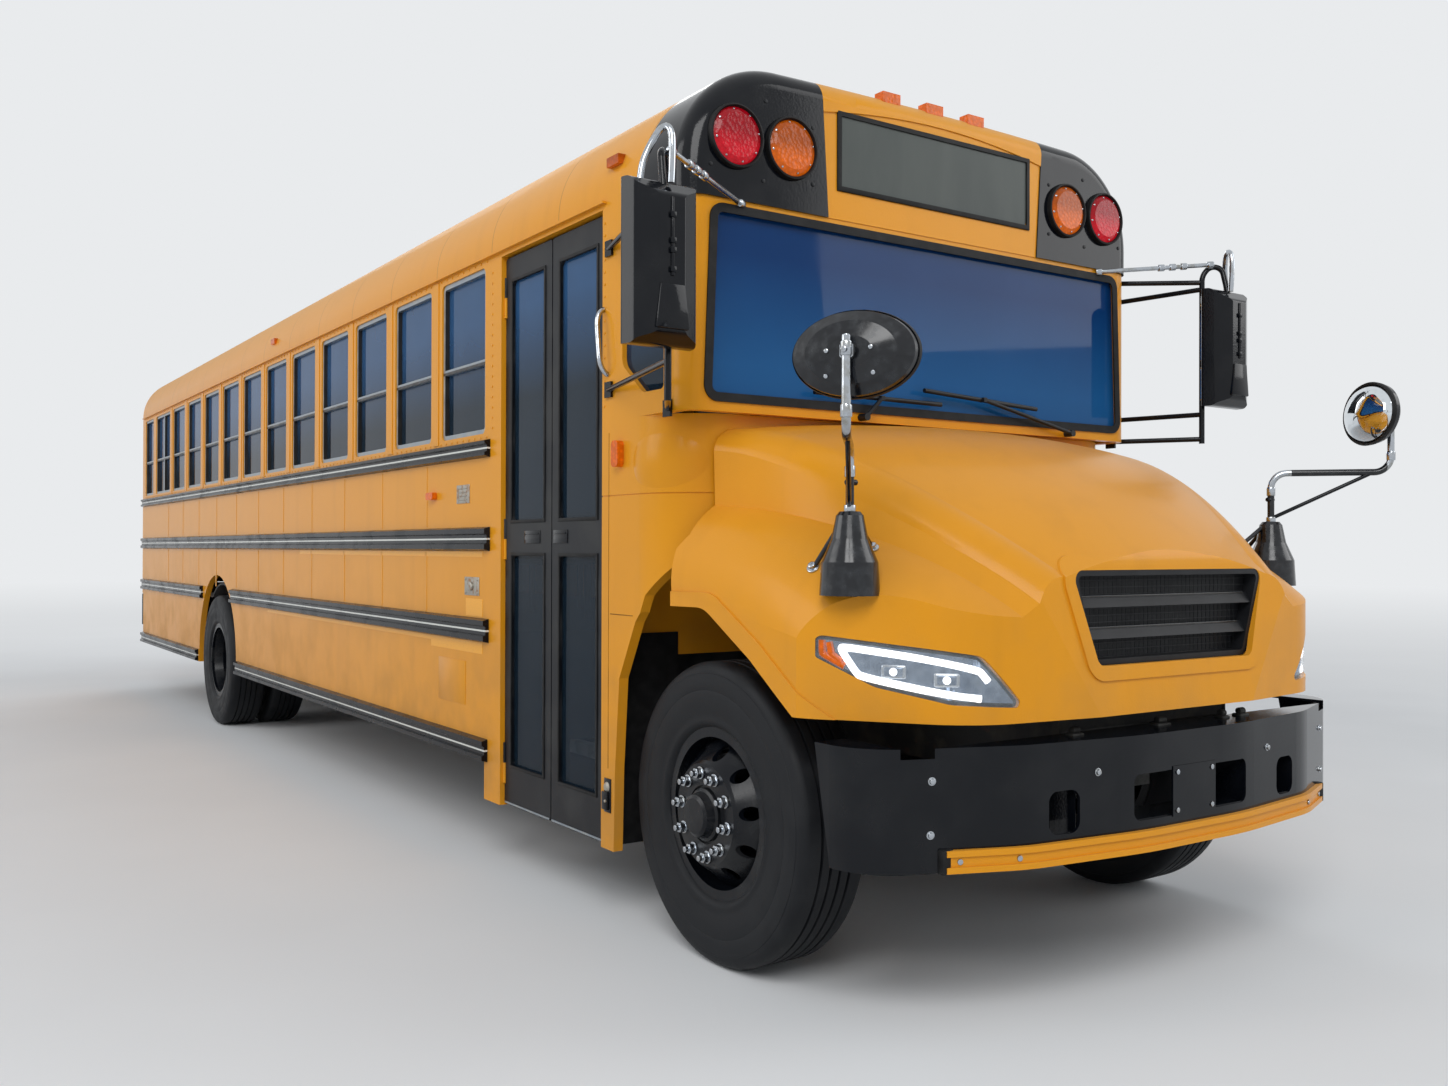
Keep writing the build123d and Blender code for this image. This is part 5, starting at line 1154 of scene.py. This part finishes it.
class FitHeadlamps(bpy.types.Operator):
    """Builds what shows behind the clear covers: housings, light bars, projectors and amber corners"""
    bl_idname = "school_bus.fit_headlamps"
    bl_label = "Fit headlamps"

    def execute(self, context):
        cover = frame["nodes"]["headlamps"]
        cover.data.materials.clear()
        cover.data.materials.append(finish("clear"))
        self.house(cover)
        guides = []
        modules = []
        pits = []
        lenses = []
        corners = []
        for side in (1, -1):
            guides.append(self.strip(side, light_bar, 0.014, 0.0118))
            for x, z in projectors:
                place, normal = from_front("headlamps", side * x, z, -0.020)
                turn = math.atan2(normal.x, -normal.y)
                bezel = block((-0.039, -0.012, -0.022), (0.039, 0.014, 0.022), 0.008, 3)
                modules.append(placed(bezel, place, turn))
                pit = block((-0.030, -0.0135, -0.015), (0.030, -0.002, 0.015), 0.005, 3)
                pits.append(placed(pit, place, turn))
                lenses.append(placed(spun(projector_lens, (0, 0, 0), "Y", 32), place, turn))
            for bend in corner_strips:
                corners.append(self.strip(side, bend, 0.009, 0.0115, 2))
        finish_piece(joined(guides), "headlamp_light_bars", "hood", "guide", 50)
        finish_piece(joined(modules), "headlamp_modules", "hood", "chrome", 50)
        finish_piece(joined(pits), "headlamp_bezels", "hood", "reflector", 50)
        finish_piece(joined(lenses), "headlamp_projectors", "hood", "guide", 50)
        finish_piece(joined(corners), "headlamp_corners", "hood", "amber", 50)
        return {"FINISHED"}

    def house(self, cover):
        """The bright housing: the cover's own shape, shrunk inside it."""
        housing = cover.copy()
        housing.data = cover.data.copy()
        housing.parent = None
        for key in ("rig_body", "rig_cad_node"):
            if key in housing:
                del housing[key]
        bpy.context.collection.objects.link(housing)
        take(housing)
        edit_all()
        bpy.ops.mesh.remove_doubles(threshold=0.00005)
        bpy.ops.mesh.normals_make_consistent(inside=False)
        bpy.ops.transform.shrink_fatten(value=-0.016)
        bpy.ops.object.mode_set(mode="OBJECT")
        finish_piece(housing, "headlamp_housings", "hood", "reflector", 25)

    def strip(self, side, points, behind, radius, order=3):
        """A lit tube that follows the cover's skin from behind."""
        path = [from_front("headlamps", side * x, z, -behind)[0] for x, z in points]
        return curve_tube(path, radius, order)


# Front

class FitGrilleMesh(bpy.types.Operator):
    """Weaves the wire mesh behind the slats and lays a strip of painted highlight along the top of each slat
    """
    bl_idname = "school_bus.fit_grille_mesh"
    bl_label = "Fit grille mesh"

    def execute(self, context):
        low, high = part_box("grille")
        pitch, wire, margin = 0.022, 0.0024, 0.03
        # How far each end of the grille draws in from its top to its bottom
        taper = 0.098
        y = high.y - 0.020
        middle_z = (low.z + high.z) / 2
        reach = (high.x - low.x) / 2
        rise = (high.z - low.z) / 2 - 0.020
        upright = block((-wire / 2, y, middle_z - rise), (wire / 2, y + wire, middle_z + rise), 0.0003, 1)
        places = []
        for number in range(int(2 * (reach - margin) / pitch) + 1):
            x = -reach + margin + number * pitch
            if abs(x) < reach - taper / 2 - margin:
                places.append((x, 0, 0))
        wires = [copy_to(upright, places)]
        for number in range(int(2 * rise / pitch) + 1):
            z = middle_z - rise + number * pitch
            share = (z - (middle_z - rise)) / (2 * rise)
            half = reach - taper * (1 - share) - 0.018
            wires.append(block((-half, y - wire, z - wire / 2), (half, y, z + wire / 2), 0.0003, 1))
        finish_piece(joined(wires), "grille_mesh", "hood", "satin_black", 30)
        # Painted highlight: a pale metal strip along the top of each slat
        slat_highlights = []
        for z in (1.1787, 1.2773):
            share = (z - low.z) / (high.z - low.z)
            half = reach - taper * (1 - share) - 0.024
            front = from_front("grille", 0, z + 0.015)[0].y
            bottom, top = z + 0.012, z + 0.018
            slat_highlights.append(block((-half, front - 0.004, bottom), (half, front + 0.002, top), 0.0015, 2))
        finish_piece(joined(slat_highlights), "grille_slat_highlights", "hood", "sash", 30)
        return {"FINISHED"}


class FitBumperParts(bpy.types.Operator):
    """Adds the bumper's bolts, sleeves and brackets, and the bolts and end caps of its guard strip"""
    bl_idname = "school_bus.fit_bumper_parts"
    bl_label = "Fit bumper parts"

    def execute(self, context):
        bolts = []
        for side in (1, -1):
            for x, z in ((0.438, 0.765), (0.991, 0.771), (0.995, 0.616)):
                spot = from_front("front_bumper", side * x, z)
                bolts.append(stud(spot, 0.002, 0.002, 0.0125, 20, 0.001))
                bolts.append(stud(spot, 0, 0.009, 0.009, 16, 0.003))
        # Bolts of the plate bracket
        for x in (-0.089, 0.089):
            for z in (0.6145, 0.7355):
                spot = (Vector((x, aft(-1.123), z)), Vector((0, -1, 0)))
                bolts.append(stud(spot, 0, 0.005, 0.0085, 16, 0.002))
        finish_piece(joined(bolts), "bumper_bolts", "chassis", "chrome", 35)
        sleeves = []
        # Ends of each opening in the bumper, its bottom and top
        for x0, x1, z0, z1 in (
            (-0.628, -0.508, 0.590, 0.720),
            (-0.290, 0.290, 0.600, 0.745),
            (0.508, 0.628, 0.590, 0.720),
        ):
            face = max(from_front("front_bumper", x, z1 + 0.02)[0].y for x in (x0, x1))
            low = (x0 - 0.001, face + 0.002, z0 - 0.001)
            high = (x1 + 0.001, face + 0.130, z1 + 0.001)
            sleeves.append(frame_round(low, high, 0.004, 0.001))
        finish_piece(joined(sleeves), "bumper_opening_sleeves", "chassis", "gloss_black", 35)
        brackets = []
        y = aft(-1.000)
        # Middle of each bracket and half its width
        for x, half in ((-0.431, 0.026), (-0.010, 0.034), (0.325, 0.020), (0.431, 0.026)):
            brackets.append(block((x - half, y - 0.018, 0.846), (x + half, y + 0.018, 0.872), 0.004, 2))
            brackets.append(bar((x - half * 0.6, y, 0.880), (x + half * 0.6, y, 0.880), 0.012, 16, 0.003))
        finish_piece(joined(brackets), "hood_rest_brackets", "chassis", "iron", 35)
        strip_z = 0.538
        caps = []
        studs = []
        for side in (1, -1):
            place = from_front("bumper_guard", side * 0.952, strip_z)[0]
            low = (place.x - 0.022, place.y - 0.003, 0.502)
            high = (place.x + 0.022, place.y + 0.03, 0.574)
            caps.append(block(low, high, 0.006))
            for x in (0.918, 0.742):
                spot = from_front("bumper_guard", side * x, strip_z)
                studs.append(stud(spot, 0.002, 0.005, 0.009, 16, 0.002))
        finish_piece(joined(caps), "guard_end_caps", "chassis", "rubber", 35)
        finish_piece(joined(studs), "guard_bolts", "chassis", "chrome", 35)
        return {"FINISHED"}


# Mirrors

class FitMirrorParts(bpy.types.Operator):
    """Adds the silvered faces, covers, chromed hooks, braces and bolts of the four mirrors"""
    bl_idname = "school_bus.fit_mirror_parts"
    bl_label = "Fit mirror parts"

    def execute(self, context):
        self.side_mirrors()
        self.crossview_mirrors()
        return {"FINISHED"}

    def side_mirrors(self):
        """What sits on the side mirror of the door side, then its image."""
        # Middle of the head, its two faces and half a pane's width
        x, y, z = -1.470, aft(-0.250), 2.335
        rear = y + 0.055
        front = y - 0.056
        half = 0.108
        panes = []
        for bottom, top in ((-0.060, 0.236), (-0.236, -0.080)):
            low = (x - half, rear - 0.002, z + bottom)
            high = (x + half, rear + 0.004, z + top)
            panes.append(block(low, high, 0.012, 3))
        finish_piece(mirrored(joined(panes)), "side_mirror_glass", "chassis", "mirror", 40)
        ridge = [bar((x, front, z - 0.050), (x, front, z + 0.195), 0.006, 12, 0.002)]
        for knob_z in (z - 0.030, z + 0.030, z + 0.060, z + 0.140):
            low = (x - 0.011, front - 0.009, knob_z - 0.010)
            high = (x + 0.011, front + 0.004, knob_z + 0.010)
            ridge.append(block(low, high, 0.004))
        cover = block((x - 0.060, front - 0.007, z - 0.215), (x + 0.060, front + 0.012, z - 0.075), 0.005)
        self.narrow_top(cover, (x, front, z - 0.075), z - 0.145)
        covers = mirrored(joined(ridge + [cover]))
        finish_piece(covers, "side_mirror_covers", "chassis", "gloss_black", 40)
        # The hook over the head, from its middle
        hook = (
            (0.015, -0.022, 0.250), (0.015, -0.030, 0.340), (0.015, -0.026, 0.420), (0.000, 0.010, 0.435),
            (-0.030, 0.040, 0.370), (-0.055, 0.050, 0.300), (-0.058, 0.048, 0.235),
        )
        band = curve_tube([(x + dx, y + dy, z + dz) for dx, dy, dz in hook], 0.0115)
        start, end = Vector((x + 0.061, y + 0.050, 2.710)), Vector((-0.963, aft(0.052), 2.668))
        chromed = [band, bar(start, end, 0.0095, 16, 0.002)]
        along = (end - start).normalized() * 0.014
        # Clamps along the arm
        for share in (0.00, 0.24, 0.34, 0.44, 1.00):
            spot = start.lerp(end, share)
            chromed.append(bar(spot - along, spot + along, 0.0155, 12, 0.003))
        finish_piece(mirrored(joined(chromed)), "side_mirror_hooks", "chassis", "chrome", 50)

    def narrow_top(self, cover, centre, height):
        """Narrows what lies above a height."""
        take(cover)
        bpy.ops.object.mode_set(mode="EDIT")
        bpy.ops.mesh.select_all(action="DESELECT")
        bpy.ops.object.mode_set(mode="OBJECT")
        for vertex in cover.data.vertices:
            vertex.select = vertex.co.z > height
        bpy.ops.object.mode_set(mode="EDIT")
        bpy.ops.transform.resize(value=(0.75, 1, 1), center_override=centre)
        bpy.ops.object.mode_set(mode="OBJECT")

    def crossview_mirrors(self):
        """What sits on the left crossview mirror and its tubes, then its image."""
        centre, turn = crossview_head, crossview_turn
        # Half sections of the glass and its rim; the head is two thirds as high as wide
        dome = (
            (0.000, 0.1690), (0.010, 0.164), (0.026, 0.146), (0.042, 0.112), (0.053, 0.064), (0.057, 0.0005),
        )
        edge = (
            (-0.004, 0.1785), (-0.007, 0.181), (0.006, 0.1845),
            (0.011, 0.181), (0.006, 0.170), (-0.004, 0.1785),
        )
        oval = 2 / 3
        glass = placed(squashed(spun(dome, (0, 0, 0), "Y", 64), oval), centre, turn)
        finish_piece(mirrored(glass), "crossview_glass", "hood", "mirror", 60)
        rim = placed(squashed(spun(edge, (0, 0, 0), "Y", 72), oval), centre, turn)
        finish_piece(mirrored(rim), "crossview_rims", "hood", "rubber", 60)

        out = Vector((math.sin(turn), -math.cos(turn), 0))
        across = Vector((math.cos(turn), math.sin(turn), 0))
        fittings = []
        # Bolts of the head: across and up from its middle
        for u, v in ((-0.062, 0.008), (0.062, 0.004), (-0.066, -0.058), (0.066, -0.062)):
            start = Vector(centre) + across * u + Vector((0, 0, v)) + out * 0.4
            fittings.append(stud(surface("crossview_mirrors", start, -out), 0.002, 0.006, 0.0065, 14, 0.002))
        tx, ty = crossview_tube()
        head = Vector((tx, ty, centre[2]))
        clamp = bar((tx, ty, centre[2] - 0.016), (tx, ty, centre[2] + 0.026), 0.0165, 24, 0.005)
        cap = bar((tx, ty, centre[2] + 0.022), (tx, ty, centre[2] + 0.044), 0.0085, 16, 0.003)
        pin = bar(head - out * 0.040, head + out * 0.026, 0.0085, 14, 0.002)
        slip = bar((tx, ty, 1.790), (tx, ty, 1.826), 0.0165, 20, 0.003)
        base = Vector((*crossview_foot, 0))
        collar = bar(base + Vector((0, 0, 1.545)), base + Vector((0, 0, 1.572)), 0.0185, 20, 0.003)
        joint = bar(base + Vector((0, 0, 1.655)), base + Vector((0, 0, 1.690)), 0.0165, 20, 0.003)
        fittings += [clamp, cap, pin, slip, collar, joint]
        # Feet of the braces on the hood
        for dx, dy in ((-0.285, 0.120), (0.0075, 0.225)):
            down = Vector((dx, dy, -0.240)).normalized()
            spot = surface("hood", base + Vector((0, 0, 1.560)), down)
            fittings.append(stud(spot, 0.002, 0.007, 0.021, 24, 0.002))
            fittings.append(stud(spot, 0, 0.020, 0.0125, 16, 0.004))
        finish_piece(mirrored(joined(fittings)), "crossview_fittings", "hood", "chrome", 35)
        knob = bar(base + Vector((-0.026, 0, 1.640)), base + Vector((0.016, 0, 1.640)), 0.009, 14, 0.003)
        foot = base + Vector((0.006, -0.004, 1.568))
        brace = bar(foot, (tx - 0.052, ty + 0.056, 1.738), 0.0075, 16, 0.001)
        braces = mirrored(joined([knob, brace]))
        finish_piece(braces, "crossview_braces", "hood", "gloss_black", 35)


# Body trim

door_side = -1


def on_side(side, ends, rise, sunk, proud, rounding, segments=2):
    """A flat piece on the body's side, from its ends along the bus and its bottom and top."""
    inner, outer = sorted((side * (body_side - sunk), side * (body_side + proud)))
    return block((inner, ends[0], rise[0]), (outer, ends[1], rise[1]), rounding, segments)


class FitBodyTrim(bpy.types.Operator):
    """Adds the rivets, post covers, laps, tape, plates and small hardware of the body"""
    bl_idname = "school_bus.fit_body_trim"
    bl_label = "Fit body trim"

    def execute(self, context):
        self.rivets(context.scene.bus_sizes.rivet_width / 2)
        self.sheets()
        self.tape()
        self.plates()
        self.cowl()
        self.latch()
        return {"FINISHED"}

    def rivets(self, radius):
        """Rows over and under the windows, columns beside the entrance and the driver's window."""
        rivet = bar((0, 0, 0), (0.0035, 0, 0), radius, 8, 0.0012)
        skin = body_side - 0.0005
        places = []
        first, last, step = 1.76, 10.52, 0.070
        for number in range(int((last - first) / step)):
            for z in (2.752, 1.948):
                places.append((skin, aft(first + step * number), z))
        for number in range(16):
            for y in (1.700, 0.642):
                places.append((skin, aft(y), 1.985 + 0.047 * number))
        rows = mirrored(copy_to(rivet, places))
        finish_piece(rows, "body_rivets", "chassis", "yellow", 30)

    def sheets(self):
        """Covers of the window posts, laps of the skirt panels and the small hatch."""
        posts = 11
        covers = []
        for number in range(posts):
            y = post_y(number)
            covers.append(on_side(1, (y - 0.030, y + 0.030), (1.945, 2.757), 0.001, 0.004, 0.0015, 1))
        covers = mirrored(joined(covers))
        finish_piece(covers, "window_post_covers", "chassis", "yellow", 30)
        laps = []
        for number in range(posts):
            y = aft(2.518 + window_pitch * number)
            for rise in ((1.545, 1.848), (1.122, 1.420)):
                laps.append(on_side(1, (y - 0.014, y + 0.014), rise, 0.001, 0.0018, 0.0006, 1))
        hatch = on_side(door_side, (aft(1.999), aft(2.336)), (0.697, 0.905), 0.001, 0.0022, 0.001)
        sheets = joined([mirrored(joined(laps)), hatch])
        finish_piece(sheets, "skirt_panel_laps", "chassis", "yellow", 30)

    def tape(self):
        """Reflective strips on the door side."""
        strips = []
        # Ends behind the front axle, bottom and top
        for y0, y1, low, high in (
            (1.80, 4.79, 1.398, 1.4235),
            (1.80, 2.44, 0.950, 1.003),
            (1.80, 1.995, 1.122, 1.203),
            (2.44, 5.60, 0.982, 1.003),
        ):
            strips.append(on_side(door_side, (aft(y0), aft(y1)), (low, high), 0.0008, 0.0012, 0.0004, 1))
        finish_piece(joined(strips), "reflective_tape", "chassis", "tape", 30)

    def plates(self):
        """Two small plates on the door side: one with slots and, lower down, one with a knob and rivets."""
        outside = door_side * body_side
        parts = [on_side(door_side, (aft(1.955), aft(2.110)), (1.652, 1.740), 0.001, 0.003, 0.001),
                 on_side(door_side, (aft(1.838), aft(2.008)), (1.218, 1.304), 0.001, 0.003, 0.001)]
        skin = outside - 0.003
        for z in (1.672, 1.690, 1.708, 1.726):
            parts.append(bar((skin, aft(1.985), z - 0.003), (skin, aft(2.080), z - 0.003), 0.003, 10))
        knob_y, knob_z = aft(1.923), 1.261
        parts.append(bar((outside - 0.014, knob_y, knob_z), (outside, knob_y, knob_z), 0.021, 24, 0.005))
        for y in (1.852, 1.994):
            for z in (1.230, 1.292):
                parts.append(bar((outside - 0.006, aft(y), z), (outside, aft(y), z), 0.006, 12, 0.001))
        finish_piece(joined(parts), "side_plates", "chassis", "plate", 35)

    def cowl(self):
        """Dark lines of painted shade along the upright and the level fold of the cowl's side."""
        upright = bar((body_side, aft(0.604), 0.600), (body_side, aft(0.604), 1.880), 0.0014, 8)
        level = bar((body_side, aft(0.590), 1.190), (body_side, aft(0.420), 1.190), 0.0018, 8)
        # Painted shade: each fold is drawn as a thin dark line
        fold_shade_lines = mirrored(joined([upright, level]))
        finish_piece(fold_shade_lines, "cowl_fold_shade_lines", "chassis", "arch", 35)

    def latch(self):
        """The latch and its lock ahead of the entrance."""
        outside = door_side * body_side
        y = aft(0.604)
        cup = on_side(door_side, (y - 0.026, y + 0.026), (0.432, 0.562), 0.002, 0.004, 0.0028)
        arm = on_side(door_side, (y - 0.014, y + 0.030), (0.442, 0.512), -0.002, 0.014, 0.004)
        latch = joined([cup, arm])
        finish_piece(latch, "entrance_latch_cup", "chassis", "gloss_black", 35)
        barrel = ((-0.014, 0.0005), (-0.013, 0.012), (-0.006, 0.019), (0.004, 0.020))
        lock = spun(barrel, (outside, y, 0.530), "X", 32)
        pin_y, pin_z = y - 0.006, 0.478
        pin = bar((outside - 0.020, pin_y, pin_z), (outside - 0.008, pin_y, pin_z), 0.006, 12, 0.002)
        finish_piece(joined([lock, pin]), "entrance_latch_lock", "chassis", "plate", 35)


class FitDoorTrim(bpy.types.Operator):
    """Adds the entrance's grab handle and handrail, the trim of its leaves and the nosings of its steps"""
    bl_idname = "school_bus.fit_door_trim"
    bl_label = "Fit door trim"

    def execute(self, context):
        handle = (
            (-1.192, aft(0.612), 2.104), (-1.225, aft(0.612), 2.120), (-1.226, aft(0.628), 2.230),
            (-1.225, aft(0.644), 2.345), (-1.192, aft(0.644), 2.359),
        )
        finish_piece(curve_tube(handle, 0.010), "grab_handle", "chassis", "chrome", 60)
        self.trim_leaf("front_leaf", "door_front", 0.668, 1.127, (0.985, 1.112))
        self.trim_leaf("rear_leaf", "door_rear", 1.135, 1.594, (1.240, 1.392))
        self.edge_steps()
        y = aft(0.735)
        rail = (
            (-0.860, y, 0.340), (-1.020, y, 0.400), (-1.060, y, 0.700),
            (-1.060, y, 1.300), (-1.020, y, 1.560), (-0.800, y, 1.620),
        )
        finish_piece(curve_tube(rail, 0.014), "entrance_handrail", "chassis", "chrome", 60)
        return {"FINISHED"}

    def trim_leaf(self, name, body, start, end, pull):
        """Seals round the two panes of a leaf, its recessed pull and the bright edge of its sweep."""
        # Width of the leaf's frame, how far a seal lies outside the pane and over it
        stile, outer, over = 0.068, 0.010, 0.004
        y0, y1 = aft(start + stile), aft(end - stile)
        seals = []
        for z0, z1 in ((1.560, 2.625), (0.475, 1.410)):
            for a, b in (
                ((y0 - outer, z0 - outer), (y1 + outer, z0 + over)),
                ((y0 - outer, z1 - over), (y1 + outer, z1 + outer)),
                ((y0 - outer, z0), (y0 + over, z1)),
                ((y1 - over, z0), (y1 + outer, z1)),
            ):
                seals.append(block((-1.1745, a[0], a[1]), (-1.168, b[0], b[1]), 0.002, 2))
        finish_piece(joined(seals), f"{name}_seals", body, "rubber", 35)
        low, high = aft(pull[0]), aft(pull[1])
        cup = block((-1.1735, low, 1.460), (-1.169, high, 1.516), 0.002, 2)
        lip = block((-1.177, low + 0.010, 1.498), (-1.172, high - 0.010, 1.506), 0.002, 2)
        finish_piece(joined([cup, lip]), f"{name}_pull", body, "gloss_black", 35)
        edge = block((-1.173, aft(start + 0.006), 0.303), (-1.169, aft(end - 0.006), 0.311), 0.001, 1)
        finish_piece(edge, f"{name}_sweep_edge", body, "sash", 35)

    def edge_steps(self):
        """A nosing over the edge of each step: an upright and a level strip."""
        low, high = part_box("stepwell")
        y0, y1 = low.y + 0.014, high.y - 0.014
        nosings = []
        for x in (-0.845, -0.695):
            top = surface("stepwell", (x + 0.030, (low.y + high.y) / 2, 2.0), (0, 0, -1))[0].z
            nosings.append(block((x - 0.004, y0, top - 0.055), (x, y1, top + 0.003), 0.001, 1))
            nosings.append(block((x - 0.004, y0, top), (x + 0.040, y1, top + 0.003), 0.001, 1))
        finish_piece(joined(nosings), "step_nosings", "chassis", "nosing", 35)


# Stage

backdrop = linear("E9EBED")


class SetStage(bpy.types.Operator):
    """Lays the floor, hangs the soft lamps and places the camera"""
    bl_idname = "school_bus.set_stage"
    bl_label = "Set the stage"

    def execute(self, context):
        scene = context.scene
        if scene.bus_sizes.show_floor:
            self.lay_floor()
        self.light()
        self.place_camera(scene)
        scene.view_settings.view_transform = "Standard"
        return {"FINISHED"}

    def lay_floor(self):
        """A wide pale floor that keeps the bus's shadow."""
        begin()
        bpy.ops.mesh.primitive_plane_add(size=400, location=(0, 0, 0))
        floor = settle(bpy.context.object)
        floor.name = "studio_floor"
        paint, tree, shader, place = blank("pale_floor")
        shade = patches(tree, place, 1.5, 2, 0.3, 0.7, 1)
        two_tone(tree, shader, shade, "E4E5E6", "E8E9EA")
        shader.inputs["Roughness"].default_value = 0.9
        shader.inputs["Specular IOR Level"].default_value = 0.2
        # Far from the bus the floor shows the backdrop's colour, so no horizon is seen
        away = node(tree, "ShaderNodeVectorMath", {0: place}, operation="LENGTH").outputs["Value"]
        near = math_node(tree, "DIVIDE", 1.0, away)
        share = math_node(tree, "MULTIPLY", ranged(tree, near, 0.13, 0.02, 0, 1), self.seen(tree))
        glow = node(tree, "ShaderNodeEmission", {"Color": rgba(backdrop)})
        mixed = node(tree, "ShaderNodeMixShader", {0: share, 1: shader.outputs[0], 2: glow.outputs[0]})
        output = next(each for each in tree.nodes if each.type == "OUTPUT_MATERIAL")
        tree.links.new(mixed.outputs[0], output.inputs["Surface"])
        floor.data.materials.append(paint)

    def seen(self, tree):
        """1 where the camera, a reflection or a pane looks at the backdrop."""
        path = node(tree, "ShaderNodeLightPath").outputs
        either = math_node(tree, "MAXIMUM", path["Is Camera Ray"], path["Is Glossy Ray"])
        return math_node(tree, "MAXIMUM", either, path["Is Transmission Ray"])

    def light(self):
        """A soft pale world and four large lamps."""
        world = bpy.data.worlds.new("studio")
        bpy.context.scene.world = world
        world.use_nodes = True
        tree = world.node_tree
        tree.nodes.clear()
        seen = node(tree, "ShaderNodeBackground", {"Color": rgba(backdrop), "Strength": 1.0})
        soft = node(tree, "ShaderNodeBackground", {"Color": rgba(linear("DCE2E8")), "Strength": 0.5})
        shares = {0: self.seen(tree), 1: soft.outputs[0], 2: seen.outputs[0]}
        mixed = node(tree, "ShaderNodeMixShader", shares)
        node(tree, "ShaderNodeOutputWorld", {"Surface": mixed.outputs[0]})
        # Place, aim, size and watts of each soft lamp
        for name, place, aim, size, power in (
            ("key_lamp", (-9, -14, 11), (0, -2, 1.2), 8, 1250),
            ("fill_lamp", (10, -12, 8), (0, -3, 1.2), 8, 480),
            ("side_lamp", (-15, 3, 8), (0, 1, 1.5), 9, 680),
            ("back_lamp", (6, 14, 9), (0, 4, 1.5), 8, 420),
        ):
            data = bpy.data.lights.new(name, "AREA")
            data.size = size
            data.energy = power
            lamp = bpy.data.objects.new(name, data)
            lamp.location = place
            lamp.rotation_mode = "QUATERNION"
            lamp.rotation_quaternion = (Vector(aim) - Vector(place)).to_track_quat("-Z", "Y")
            bpy.context.collection.objects.link(lamp)

    def place_camera(self, scene):
        """The camera that took the photo: its turns, its lens in pixels of a frame this wide, its place."""
        yaw, pitch, roll = 0.595600, 0.00471973, 0.00267469
        sensor, focal_pixels, frame_pixels = 36.0, 1256.61, 1448.0
        place = (-3.51868, aft(-3.61680), 1.43861)
        data = bpy.data.cameras.new("photo_camera")
        data.sensor_width = sensor
        data.lens = sensor * focal_pixels / frame_pixels
        data.clip_end = 300
        camera = bpy.data.objects.new("photo_camera", data)
        forward = Vector((math.sin(yaw) * math.cos(pitch), math.cos(yaw) * math.cos(pitch), math.sin(pitch)))
        right = Vector((math.cos(yaw), -math.sin(yaw), 0))
        up = right.cross(forward)
        turned_right = right * math.cos(roll) + up * math.sin(roll)
        turned_up = -right * math.sin(roll) + up * math.cos(roll)
        rows = Matrix((turned_right, turned_up, -forward)).transposed().to_4x4()
        camera.matrix_world = Matrix.Translation(place) @ rows
        bpy.context.collection.objects.link(camera)
        scene.camera = camera


class BusPanel(bpy.types.Panel):
    """Lists the operators and settings of the bus"""
    bl_idname = "VIEW3D_PT_school_bus"
    bl_label = "School Bus"
    bl_space_type = "VIEW_3D"
    bl_region_type = "UI"
    bl_category = "School Bus"

    def draw(self, context):
        layout = self.layout
        for group in (context.scene.bus_colours, context.scene.bus_sizes):
            for name in group.__annotations__:
                layout.prop(group, name)
        for operator in operators:
            layout.operator(operator.bl_idname)


operators = (
    PaintFrame,
    FitTyres,
    FitWheelNuts,
    FitWarningLamps,
    FitHeadlamps,
    FitGrilleMesh,
    FitBumperParts,
    FitMirrorParts,
    FitBodyTrim,
    FitDoorTrim,
    MakeSeats,
    SetStage,
)
classes = (BusColours, BusSizes, *operators, BusPanel)


def register():
    for each in classes:
        bpy.utils.register_class(each)
    bpy.types.Scene.bus_colours = PointerProperty(type=BusColours)
    bpy.types.Scene.bus_sizes = PointerProperty(type=BusSizes)


def unregister():
    del bpy.types.Scene.bus_sizes
    del bpy.types.Scene.bus_colours
    for each in reversed(classes):
        bpy.utils.unregister_class(each)


def main():
    """Runs every operator in order."""
    register()
    bpy.ops.school_bus.paint_frame()
    bpy.ops.school_bus.fit_tyres()
    bpy.ops.school_bus.fit_wheel_nuts()
    bpy.ops.school_bus.fit_warning_lamps()
    bpy.ops.school_bus.fit_headlamps()
    bpy.ops.school_bus.fit_grille_mesh()
    bpy.ops.school_bus.fit_bumper_parts()
    bpy.ops.school_bus.fit_mirror_parts()
    bpy.ops.school_bus.fit_body_trim()
    bpy.ops.school_bus.fit_door_trim()
    bpy.ops.school_bus.make_seats()
    bpy.ops.school_bus.set_stage()


if __name__ == "__main__":
    main()
